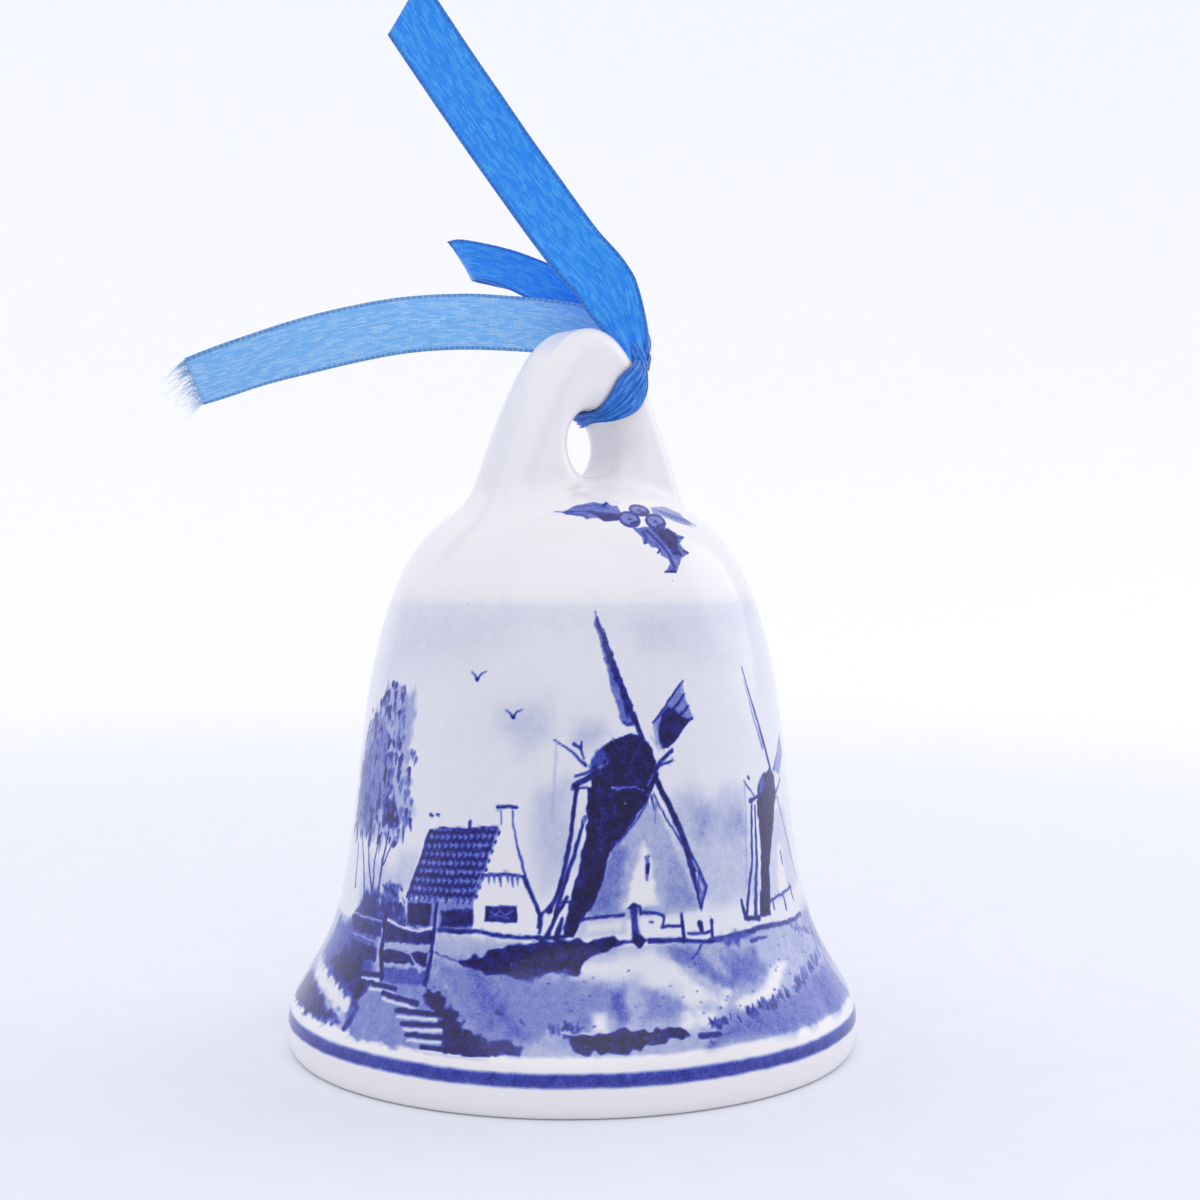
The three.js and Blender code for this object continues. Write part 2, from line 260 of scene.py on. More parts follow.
@dataclass(frozen=True)
class SatinRibbon:
    """Woven polyester satin ribbon, 6 mm wide with a stitched selvedge on each side.

    It gives the eye a soft lengthwise shimmer, short floating threads in staggered rows, and a
    darker cord along both edges. The reverse is deeper and flatter than the face. The face's paler
    tones are partly satin's shinier face and partly painted sheen where the tail turns to the light,
    and the gathered tones are darker with painted shade for the folds.
    """

    side: SatinSide
    width: float = 6.0           # mm
    float_length: float = 1.05   # a floating thread, drawn coarser than the real 0.4 mm to show
    float_width: float = 0.2     # mm between threads, drawn coarser than the real 0.1 mm to show

    def tones(self) -> tuple[str, str, str, str]:
        """Dark thread, main thread, bright thread and selvedge, as hex colours."""
        # The face's paler tones are partly satin's shinier face and partly painted sheen.
        if self.side is SatinSide.FACE:
            return "#58aaf8", "#84c5ff", "#c6e8ff", "#2c6cb8"
        # Painted shade: the gathered tones are darker, for the shade in the wrap's and knot's folds.
        if self.side is SatinSide.GATHERED:
            return "#0a50b2", "#1276de", "#62c2ff", "#0d4494"
        if self.side is SatinSide.FRAYED:
            return "#86bcf2", "#a9d2fa", "#d6ebff", "#8fc0f2"
        return "#0a76ea", "#1a94fc", "#62c6ff", "#1158b4"

    def make(self) -> Material:
        """Builds the material on the ribbon's own UV map, whose unit is a millimetre."""
        dark, main, bright, edge = self.tones()
        material, tree, shader = new_material(f"satin_ribbon_{self.side.value}", 0.42, 1.5)
        shader.inputs["Sheen Weight"].default_value = 0.35
        shader.inputs["Sheen Roughness"].default_value = 0.4
        uv = add_node(tree, "UVMap", {"uv_map": "UVMap"}).outputs["UV"]
        swap = add_node(tree, "SeparateXYZ", inputs={0: uv})
        lengthwise = add_node(tree, "CombineXYZ", inputs={
            0: swap.outputs["Y"], 1: swap.outputs["X"]})
        threads = add_node(tree, "TexBrick", {"offset": 0.37, "squash": 1.0}, {
            "Vector": lengthwise.outputs[0], "Color1": (0.2, 0.2, 0.2, 1), "Color2": (1, 1, 1, 1),
            "Mortar": (0, 0, 0, 1), "Scale": 1.0, "Mortar Size": 0.035, "Mortar Smooth": 0.6,
            "Brick Width": self.float_length, "Row Height": self.float_width})
        streak = add_node(tree, "TexNoise", inputs={
            "Vector": lengthwise.outputs[0], "Scale": 1.3, "Detail": 4.0, "Roughness": 0.7})
        mixed = add_node(tree, "Mix", {"data_type": "FLOAT"}, {
            "Factor": 0.45, 2: threads.outputs["Fac"], 3: streak.outputs["Fac"]})
        thread = add_node(tree, "RGBToBW", inputs={0: threads.outputs["Color"]})
        level = add_node(tree, "Math", {"operation": "MULTIPLY_ADD"},
                         {0: thread.outputs[0], 1: 0.5, 2: 0.28})
        patchy = add_node(tree, "Math", {"operation": "MULTIPLY_ADD"},
                          {0: streak.outputs["Fac"], 1: 0.35, 2: level.outputs[0]})
        lowered = add_node(tree, "Math", {"operation": "SUBTRACT"},
                           {0: patchy.outputs[0], 1: 0.18})
        cloth = add_ramp(tree, lowered.outputs[0], [(0.05, dark), (0.5, main), (0.95, bright)])
        # The selvedge: the last 0.3 mm on each side, with a stitch every 0.6 mm.
        aside = add_node(tree, "Math", {"operation": "SUBTRACT"},
                         {0: swap.outputs["X"], 1: self.width / 2})
        off = add_node(tree, "Math", {"operation": "ABSOLUTE"}, {0: aside.outputs[0]})
        hem = add_node(tree, "MapRange", inputs={
            "Value": off.outputs[0], "From Min": self.width / 2 - 0.42,
            "From Max": self.width / 2 - 0.3, "To Max": 0.75})
        stitch = add_node(tree, "TexWave", {"bands_direction": "Y"}, {
            "Vector": uv, "Scale": 0.52, "Distortion": 0.6})
        worn = add_node(tree, "Math", {"operation": "MULTIPLY_ADD"},
                        {0: stitch.outputs["Fac"], 1: 0.45, 2: 0.5})
        amount = add_node(tree, "Math", {"operation": "MULTIPLY"},
                          {0: hem.outputs[0], 1: worn.outputs[0]})
        colour = add_node(tree, "Mix", {"data_type": "RGBA"}, {
            "Factor": amount.outputs[0], 6: cloth.outputs["Color"], 7: linear(edge)})
        tree.links.new(colour.outputs[2], shader.inputs["Base Color"])
        bump = add_node(tree, "Bump", inputs={
            "Height": mixed.outputs[0], "Strength": 0.35, "Distance": 0.06 * MM})
        tree.links.new(bump.outputs["Normal"], shader.inputs["Normal"])
        return material


@dataclass(frozen=True)
class DrawnSteelWire:
    """Tinned spring wire: grey metal with faint lines drawn along it and a little dull oxide."""

    name: str = "drawn_steel_wire"

    def make(self) -> Material:
        """Builds the material."""
        material, tree, shader = new_material(self.name, 0.34, metallic=1.0)
        place = add_node(tree, "TexCoord").outputs["Object"]
        cloud = add_node(tree, "TexNoise", inputs={
            "Vector": place, "Scale": 1 / (1.2 * MM), "Detail": 5.0, "Roughness": 0.7})
        ramp = add_ramp(tree, cloud.outputs["Fac"], [(0.25, "#8b8d90"), (0.75, "#c3c5c7")])
        tree.links.new(ramp.outputs["Color"], shader.inputs["Base Color"])
        dull = add_node(tree, "MapRange", inputs={
            "Value": cloud.outputs["Fac"], "To Min": 0.26, "To Max": 0.5})
        tree.links.new(dull.outputs[0], shader.inputs["Roughness"])
        bump = add_node(tree, "Bump", inputs={
            "Height": cloud.outputs["Fac"], "Strength": 0.2, "Distance": 0.02 * MM})
        tree.links.new(bump.outputs["Normal"], shader.inputs["Normal"])
        return material


@dataclass(frozen=True)
class CrimpedBrass:
    """Small brass tube crimped on the wire: warm yellow metal with browner patches."""

    name: str = "crimped_brass"

    def make(self) -> Material:
        """Builds the material."""
        material, tree, shader = new_material(self.name, 0.3, metallic=1.0)
        place = add_node(tree, "TexCoord").outputs["Object"]
        cloud = add_node(tree, "TexNoise", inputs={
            "Vector": place, "Scale": 1 / (0.9 * MM), "Detail": 4.0, "Roughness": 0.65})
        ramp = add_ramp(tree, cloud.outputs["Fac"], [(0.2, "#9b7a3c"), (0.8, "#d9b872")])
        tree.links.new(ramp.outputs["Color"], shader.inputs["Base Color"])
        dull = add_node(tree, "MapRange", inputs={
            "Value": cloud.outputs["Fac"], "To Min": 0.22, "To Max": 0.46})
        tree.links.new(dull.outputs[0], shader.inputs["Roughness"])
        bump = add_node(tree, "Bump", inputs={
            "Height": cloud.outputs["Fac"], "Strength": 0.2, "Distance": 0.02 * MM})
        tree.links.new(bump.outputs["Normal"], shader.inputs["Normal"])
        return material


@dataclass(frozen=True)
class PottersCement:
    """Trowelled plaster cement: matt warm grey, gritty, with small pits and thumb marks."""

    name: str = "potters_cement"

    def make(self) -> Material:
        """Builds the material."""
        material, tree, shader = new_material(self.name, 0.92, 1.45)
        place = add_node(tree, "TexCoord").outputs["Object"]
        grit = add_node(tree, "TexNoise", inputs={
            "Vector": place, "Scale": 1 / (0.35 * MM), "Detail": 4.0, "Roughness": 0.7})
        thumb = add_node(tree, "TexNoise", inputs={
            "Vector": place, "Scale": 1 / (3.5 * MM), "Detail": 2.0})
        both = add_node(tree, "Mix", {"data_type": "FLOAT"}, {
            "Factor": 0.5, 2: grit.outputs["Fac"], 3: thumb.outputs["Fac"]})
        ramp = add_ramp(tree, both.outputs[0], [(0.3, "#aaa497"), (0.7, "#ddd8cc")])
        tree.links.new(ramp.outputs["Color"], shader.inputs["Base Color"])
        bump = add_node(tree, "Bump", inputs={
            "Height": both.outputs[0], "Strength": 0.7, "Distance": 0.25 * MM})
        tree.links.new(bump.outputs["Normal"], shader.inputs["Normal"])
        return material


@dataclass(frozen=True)
class StudioPaper:
    """White seamless paper with a painted glow: a pale ground that emits light, brighter further off, with
    painted shade on the side nearer than the bell.
    """

    name: str = "white_studio_paper"
    glow_near: float = 0.04
    glow_far: float = 0.21
    near_shade: float = 0.45

    def make(self) -> Material:
        """Builds the material."""
        material, tree, shader = new_material(self.name, 0.9, 1.4)
        place = add_node(tree, "TexCoord").outputs["Object"]
        fibre = add_node(tree, "TexNoise", inputs={
            "Vector": place, "Scale": 1 / (6 * MM), "Detail": 3.0})
        ramp = add_ramp(tree, fibre.outputs["Fac"], [(0.3, "#e4e6ee"), (0.7, "#e6e8f0")])
        # Painted shade: the paper on the camera's side of the bell is drawn darker, for the dark half of the
        # room.
        ahead = add_node(tree, "VectorMath", {"operation": "DOT_PRODUCT"},
                         {0: place, 1: (math.sin(VIEW_TURN), math.cos(VIEW_TURN), 0.0)})
        shade = add_node(tree, "MapRange", {"interpolation_type": "SMOOTHSTEP"}, {
            "Value": ahead.outputs["Value"], "From Min": -0.5, "From Max": -0.06,
            "To Min": self.near_shade, "To Max": 1.0})
        paper = add_node(tree, "Mix", {"data_type": "RGBA", "blend_type": "MULTIPLY"}, {
            "Factor": 1.0, 6: ramp.outputs["Color"], 7: shade.outputs[0]})
        tree.links.new(paper.outputs[2], shader.inputs["Base Color"])
        # Painted glow: the paper itself emits light, weakly near the bell and more further off, dimmed where the
        # painted shade is.
        reach = add_node(tree, "VectorMath", {"operation": "LENGTH"}, {0: place})
        glow = add_node(tree, "MapRange", {"interpolation_type": "SMOOTHSTEP"}, {
            "Value": reach.outputs["Value"], "From Min": 0.06, "From Max": 0.6,
            "To Min": self.glow_near, "To Max": self.glow_far})
        lit = add_node(tree, "Math", {"operation": "MULTIPLY"},
                       {0: glow.outputs[0], 1: shade.outputs[0]})
        shader.inputs["Emission Color"].default_value = linear("#f7f7ff")
        tree.links.new(lit.outputs[0], shader.inputs["Emission Strength"])
        return material


# ---- Shapes in numbers -----------------------------------------------------------------
def bezier(points: Points, count: int) -> Array:
    """Points along a Bezier curve.

    Args:
        points: Its control points.
        count: How many steps it is cut into.

    Returns:
        An array of count + 1 rows.
    """
    level = np.repeat(np.array(points, float)[:, None, :], count + 1, axis=1)
    t = np.linspace(0, 1, count + 1)[:, None]
    while len(level) > 1:
        level = level[:-1] * (1 - t) + level[1:] * t
    return level[0]


def polygon_distance(x: Array, y: Array, corners: Array) -> Array:
    """Signed distance from points to a closed outline, below zero inside.

    Args:
        x: Sideways places of the points.
        y: Upward places of the points.
        corners: The outline's corners, one row each.

    Returns:
        One distance for each point.
    """
    best = np.full(x.shape, 1e9)
    inside = np.zeros(x.shape, bool)
    for (ax, ay), (bx, by) in zip(corners, np.roll(corners, -1, axis=0)):
        ex, ey = bx - ax, by - ay
        wx, wy = x - ax, y - ay
        t = np.clip((wx * ex + wy * ey) / max(ex * ex + ey * ey, 1e-12), 0, 1)
        best = np.minimum(best, (wx - ex * t) ** 2 + (wy - ey * t) ** 2)
        if ay != by:
            crosses = (ay > y) != (by > y)
            inside ^= crosses & (x < ex * (y - ay) / ey + ax)
    return np.where(inside, -1, 1) * np.sqrt(best)


def line_distance(x: Array, y: Array, points: Array) -> tuple[Array, Array]:
    """Distance from points to an open line, and how far along it the nearest place is.

    Args:
        x: Sideways places of the points.
        y: Upward places of the points.
        points: The line's corners, one row each.

    Returns:
        Distances, and shares of the line's length from 0 to 1.
    """
    steps = np.linalg.norm(np.diff(points, axis=0), axis=1)
    total = max(steps.sum(), 1e-9)
    best, along, done = np.full(x.shape, 1e9), np.zeros(x.shape), 0.0
    for (ax, ay), (bx, by), step in zip(points[:-1], points[1:], steps):
        ex, ey = bx - ax, by - ay
        t = np.clip(((x - ax) * ex + (y - ay) * ey) / max(step * step, 1e-12), 0, 1)
        gap = (x - ax - ex * t) ** 2 + (y - ay - ey * t) ** 2
        nearer = gap < best
        best = np.where(nearer, gap, best)
        along = np.where(nearer, (done + t * step) / total, along)
        done += step
    return np.sqrt(best), along


def value_noise(x: Array, y: Array, size: float, seed: int) -> Array:
    """Smooth random values from -1 to 1 on a plane.

    Args:
        x: Sideways places.
        y: Upward places.
        size: The width of one lump.
        seed: Which of many patterns.

    Returns:
        One value for each place.
    """
    u, v = x / size, y / size
    iu, iv = np.floor(u), np.floor(v)
    fu, fv = u - iu, v - iv
    fu, fv = fu * fu * (3 - 2 * fu), fv * fv * (3 - 2 * fv)

    def corner(du: int, dv: int) -> Array:
        """The random value at one corner of each place's cell."""
        raw = np.sin((iu + du) * 127.1 + (iv + dv) * 311.7 + seed * 74.7) * 43758.5453
        return raw - np.floor(raw)

    low = corner(0, 0) * (1 - fu) + corner(1, 0) * fu
    high = corner(0, 1) * (1 - fu) + corner(1, 1) * fu
    return 2 * (low * (1 - fv) + high * fv) - 1


# ---- The painting ----------------------------------------------------------------------
@dataclass(frozen=True)
class Stroke:
    """One brush stroke: a line with a width at its start and at its end, mm."""

    points: Points
    start: float
    end: float
    tone: float
    soft: float = 0.09
    sheet: Sheet = Sheet.WALL

    def reach(self) -> tuple[float, float, float, float]:
        """The box that the stroke can touch."""
        p, m = np.array(self.points), max(self.start, self.end) + 1.2
        return p[:, 0].min() - m, p[:, 1].min() - m, p[:, 0].max() + m, p[:, 1].max() + m

    def lay(self, x: Array, y: Array, ink: Array) -> tuple[Array, Array]:
        """The ink after this stroke, and the distance to its edge.

        Args:
            x: Sideways places.
            y: Upward places.
            ink: The ink that is there already.

        Returns:
            The new ink, and distances to the stroke's edge.
        """
        gap, along = line_distance(x, y, np.array(self.points, float))
        edge = gap - (self.start + (self.end - self.start) * along) / 2
        cover = np.clip(0.5 - edge / (2 * self.soft), 0, 1)
        return ink + cover * (self.tone - ink), np.abs(edge)


@dataclass(frozen=True)
class Patch:
    """One filled shape, with a hard or a soft edge and a ragged outline, mm."""

    points: Points
    tone: float
    soft: float = 0.1
    ragged: float = 0.0
    lump: float = 0.5
    sheet: Sheet = Sheet.WALL
    adds: bool = False

    def reach(self) -> tuple[float, float, float, float]:
        """The box that the patch can touch."""
        p, m = np.array(self.points), self.soft + self.ragged + 1.0
        return p[:, 0].min() - m, p[:, 1].min() - m, p[:, 0].max() + m, p[:, 1].max() + m

    def lay(self, x: Array, y: Array, ink: Array) -> tuple[Array, Array]:
        """The ink after this patch, and the distance to its edge.

        Args:
            x: Sideways places.
            y: Upward places.
            ink: The ink that is there already.

        Returns:
            The new ink, and distances to the patch's edge, which are large where it is soft.
        """
        edge = polygon_distance(x, y, np.array(self.points, float))
        if self.ragged:
            edge = edge + self.ragged * value_noise(x, y, self.lump, len(self.points))
        cover = np.clip(0.5 - edge / (2 * self.soft), 0, 1)
        cover = cover * cover * (3 - 2 * cover)
        if self.adds:
            made = 1 - (1 - ink) * (1 - self.tone * cover)
        else:
            made = ink + cover * (self.tone - ink)
        return made, np.abs(edge) + (5.0 if self.soft > 0.35 else 0.0)


Mark = Stroke | Patch


def stroke(start: float, end: float, tone: float, *places: float, **more: object) -> Stroke:
    """A stroke from its two widths and its tone, then each point's sideways and upward place."""
    return Stroke(list(zip(places[::2], places[1::2])), start, end, tone, **more)


def patch(tone: float, soft: float, ragged: float, lump: float, *places: float, **more: object) -> Patch:
    """A patch from its tone and its edge's softness, raggedness and lumps, then each point's places."""
    return Patch(list(zip(places[::2], places[1::2])), tone, soft, ragged, lump, **more)


@dataclass
class Sky:
    """The printed sky: a pale wash with a level top edge, and soft clouds in it."""

    top: float = 46.0

    def marks(self) -> list[Mark]:
        """The sky's washes, laid first."""
        band = [(-78.0, 13.0), (78.0, 13.0), (78.0, self.top), (-78.0, self.top)]
        marks: list[Mark] = [Patch(band, 0.055, soft=0.3)]
        for points, tone, soft in (
                ([(-26, 38), (-12, 41), (-8, 45), (-26, 46)], 0.07, 3.0),
                ([(-8, 43.5), (10, 42.5), (26, 43), (30, 46), (-8, 46)], 0.06, 2.4),
                ([(8, 44), (18, 43), (22, 40), (14, 40.5), (8, 42)], 0.05, 1.8),
                ([(-7.5, 36.4), (-2.6, 36.6), (-1.8, 33.4), (-4.6, 32), (-7.6, 34)], 0.13, 1.8),
                ([(0.2, 34.6), (3.2, 34.8), (4.4, 33.6), (1.6, 32.2), (0, 33)], 0.17, 1.1),
                ([(-3.6, 28.6), (-0.2, 29.4), (1, 22), (-2.4, 19), (-4.2, 24)], 0.15, 1.4),
                ([(10.8, 27.4), (13, 29), (15.4, 27.4), (17.4, 28.4), (20.2, 27.6), (21.4, 17.5),
                  (9.6, 17.5)], 0.16, 1.2),
                ([(13, 26.8), (15.6, 27), (16.2, 24.2), (13.4, 24)], 0.14, 0.9),
                ([(17, 25.8), (20, 26.4), (20.2, 23.6), (17.2, 23.4)], 0.12, 0.9),
                ([(-24.5, 21), (-19, 20.2), (-17.6, 16.4), (-26, 15.8)], 0.15, 1.2),
                ([(-19.5, 21.8), (-16.4, 22.2), (-15.2, 19), (-19, 18)], 0.12, 1.0)):
            marks.append(Patch(points, tone, soft=soft, ragged=0.5, lump=2.2, adds=True))
        return marks


@dataclass
class Windmill:
    """A smock mill seen from the side: a dark thatched body, a cap, four sails and a fenced base."""

    def marks(self) -> list[Mark]:
        """The big mill in the middle."""
        marks: list[Mark] = [
            # The lit face of the body and its pale middle.
            patch(0.27, 0.3, 0.15, 0.5, 7.9, 27.4, 9, 27, 13.2, 17.2, 1, 16.6, 3, 20.4, 4.2, 23.2),
            patch(0.24, 0.5, 0.3, 0.5, 4, 23.2, 5.8, 23.4, 4.2, 17.6, 1.4, 17.2, adds=True),
            patch(0.03, 0.35, 0.12, 0.5, 7.4, 23.8, 8, 22.4, 8.6, 18, 5.2, 17.9, 6.2, 20.8),
            patch(0.1, 0.7, 0, 0.5, 10.2, 22.6, 11.4, 21.2, 12.6, 17.4, 9.4, 17.6, adds=True),
            # The dark side.
            patch(0.98, 0.12, 0.12, 0.6, 1.9, 28.8, 1.7, 24.8, 0.8, 21.2, 0.1, 18.6, -0.6, 15.6, 0.3, 15.3,
                1.2, 17, 2.4, 18.4, 3.3, 20.9, 3.9, 22.9, 6.2, 25.4, 8, 27.8, 7.8, 28.6),
            stroke(0.3, 0.2, 0.62, 4.6, 23.6, 6.9, 26, 7.9, 27.4),
            # The cap.
            patch(0.98, 0.12, 0.1, 0.5, 2.2, 30.6, 2.9, 32.2, 4.2, 33.1, 6.2, 33.8, 7.6, 33.5, 8.6, 32.4,
                8.9, 31.2, 8.8, 29.9, 8.2, 28.2, 2.3, 28.4),
            patch(0.66, 0.25, 0.3, 0.4, 2.1, 30.8, 2.7, 32, 3.7, 32.6, 3.9, 31.4, 3, 30.4),
            stroke(0.12, 0.08, 0.3, 2.4, 30.4, 3.9, 31),
            stroke(0.22, 0.1, 0.32, 4.3, 28.75, 6.7, 28.85, 7.6, 28.5),
            # The tail gallery, its tiller and a bird on it.
            stroke(0.45, 0.6, 0.9, 0.4, 29.1, 1.6, 29.6, 2.8, 30.3),
            stroke(0.25, 0.3, 0.75, 0.6, 29.9, 2.4, 30.5), stroke(0.3, 0.2, 0.8, 0.3, 28.8, 1.8, 28.9),
            stroke(0.14, 0.26, 0.82, -1.6, 33.3, 0.2, 32.2, 1.7, 30.9),
            stroke(0.34, 0.12, 0.85, 0.4, 32.9, 1.2, 32.4, 1.5, 31.5),
            stroke(0.2, 0.3, 0.85, 1.2, 33.1, 1.2, 32.4),
            stroke(0.18, 0.12, 0.26, -1.3, 33.1, -1.5, 29, -1.7, 25.4, soft=0.16),
            # The tail poles and the winch at their foot.
            stroke(0.36, 0.42, 0.9, 0.8, 29, 0.3, 25.9, -0.4, 21.6, -1.1, 19.2, -1.9, 17.6),
            stroke(0.32, 0.38, 0.88, 1.5, 26.2, 0.5, 22.8, -0.6, 19.6, -1.3, 17.4),
            stroke(0.1, 0.1, 0.12, 1.1, 28.6, 1.5, 27.4, 1.4, 25.6),
            stroke(0.24, 0.2, 0.86, -2.7, 15.6, -2.5, 17.4, -1.3, 18.6, 0.2, 18.4),
            stroke(0.4, 0.3, 0.92, -2, 15.5, -1.2, 17.2, -0.2, 18.9),
            stroke(0.5, 0.3, 0.9, -1.2, 15.2, -0.6, 16.9), stroke(0.34, 0.3, 0.95, -2.9, 15.2, 0.2, 15.5),
            # The sail that points up and left: a bright cloth side and a dark one.
            patch(0.5, 0.1, 0.1, 0.35, 3, 45.3, 2.8, 44, 3.7, 41, 4.8, 36.9, 5.5, 34.7, 6.9, 34.5, 7.1, 35),
            patch(0.86, 0.1, 0.14, 0.4, 3.1, 45.3, 3.2, 43.6, 4.2, 40.4, 5.4, 37.6, 6, 35.4, 7.2, 34.4,
                7.1, 35.2, 4.8, 41),
            stroke(0.2, 0.25, 0.8, 5.6, 34.75, 6.6, 34.55), stroke(0.45, 0.5, 0.95, 6.9, 35, 7.6, 33.2),
            # The short sail that points up and right, cloth half furled.
            patch(0.42, 0.09, 0, 0.5, 8.9, 34.7, 10.7, 36.6, 12.7, 38.5, 12.9, 37.3, 13.2, 36.2, 13.7,
                35.1, 11.3, 32.9, 9.6, 32.2, 9.1, 33.2),
            patch(0.95, 0.1, 0.12, 0.5, 9.9, 35.6, 10.8, 36.3, 11.4, 35.9, 12, 35.3, 12.5, 35.2, 13.6, 35,
                11.2, 32.8, 9.8, 32.3, 9.5, 33.6),
            stroke(0.16, 0.2, 0.9, 8.9, 34.7, 10.7, 36.6, 12.8, 38.5),
            stroke(0.24, 0.2, 0.86, 11.2, 35.8, 12.9, 37.3), stroke(0.24, 0.2, 0.86, 12, 35.2, 13.2, 36.2),
            stroke(0.14, 0.1, 0.2, 12.6, 38.3, 12.6, 37.5),
            stroke(0.3, 0.35, 0.3, 9.1, 34.5, 9.2, 32.7, soft=0.12),
            stroke(0.24, 0.2, 0.95, 9.9, 32.4, 13.6, 35), stroke(0.16, 0.16, 0.3, 8.6, 33.4, 9.4, 32.2),
            # The stub of the far sail, and the hub's ropes.
            stroke(0.5, 0.35, 0.84, 8.4, 29.6, 9.4, 31, 10.8, 32.1),
            stroke(0.3, 0.2, 0.84, 9.4, 30.7, 10.9, 31.1), stroke(0.35, 0.4, 0.88, 7.9, 28, 9, 29.9),
            stroke(0.1, 0.1, 0.3, 8, 28.9, 8.6, 29.9),
            # The sail that points down and right, with its lattice end.
            stroke(0.55, 0.6, 0.93, 8.8, 29.6, 10, 27.4, 11.3, 24.8, 12, 22.8),
            stroke(0.16, 0.2, 0.86, 8.5, 28.2, 9.6, 26.2, 10.9, 24.2, 12, 22.4),
            patch(0.5, 0.1, 0, 0.5, 11.6, 23, 12.3, 22.9, 14, 19.2, 13.1, 17.3, 12.5, 19.4),
            patch(0.92, 0.1, 0, 0.5, 11.6, 23, 12.2, 22.9, 12.9, 20.4, 12.8, 18.6, 12.4, 19.8),
            stroke(0.18, 0.2, 0.9, 12.2, 22.9, 13.2, 21, 14, 19.2, 13.1, 17.3),
            stroke(0.16, 0.3, 0.9, 12.6, 19.8, 13.1, 17.3), stroke(0.28, 0.2, 0.16, 12.9, 20.5, 13.5, 19),
            stroke(0.12, 0.14, 0.25, 12.6, 21.6, 13.1, 20.9),
            stroke(0.12, 0.12, 0.85, 13.2, 20.6, 13, 18.7), stroke(0.3, 0.12, 0.7, 8.3, 27.9, 8.6, 26.6),
            stroke(0.22, 0.08, 0.5, 8.8, 27.6, 8.7, 25.4),
            # The window.
            stroke(0.2, 0.2, 0.85, 7.45, 22.25, 7.8, 22.35), stroke(0.42, 0.36, 0.5, 7.6, 22.2, 7.55, 20.3),
            stroke(0.34, 0.3, 0.95, 7.65, 21.6, 7.6, 20.9),
            # The base wall, its round-headed door and the fence.
            patch(0.2, 0.25, 0, 0.5, 1.2, 16.9, 5.2, 17.1, 5.2, 15.5, 0.6, 15.4),
            patch(0.08, 0.3, 0, 0.5, 1.8, 16.5, 4.8, 16.7, 4.8, 15.9, 1.6, 15.8),
            patch(0.05, 0.2, 0, 0.5, 6.9, 16.9, 8.8, 16.8, 8.8, 15.4, 6.9, 15.3),
            stroke(0.26, 0.2, 0.9, 0.9, 16.9, 3.2, 17.1, 5.1, 17.25),
            stroke(0.72, 0.7, 0.8, 6.1, 17.9, 6.1, 15.2),
            stroke(0.26, 0.22, 0.92, 5.6, 17.8, 6.1, 18.15, 6.7, 17.9, 6.8, 17.2),
            stroke(0.16, 0.16, 0.3, 6.45, 17.2, 6.5, 15.4),
            stroke(0.24, 0.26, 0.88, 7, 17.35, 8.2, 17.25, 9, 16.9, 8.8, 16.1),
            stroke(0.22, 0.2, 0.7, 7.6, 16.5, 7.9, 16.45), stroke(0.26, 0.24, 0.9, 8.7, 15.95, 10.8, 15.9),
            stroke(0.28, 0.34, 0.9, 10.9, 16.95, 10.85, 14.3),
            stroke(0.2, 0.26, 0.88, 11.3, 15.2, 13, 15, 14, 15.1),
            stroke(0.62, 0.5, 0.92, 12.75, 15.9, 12.8, 15.3), stroke(0.3, 0.36, 0.9, 14.1, 16.1, 13.9, 14),
        ]
        return marks


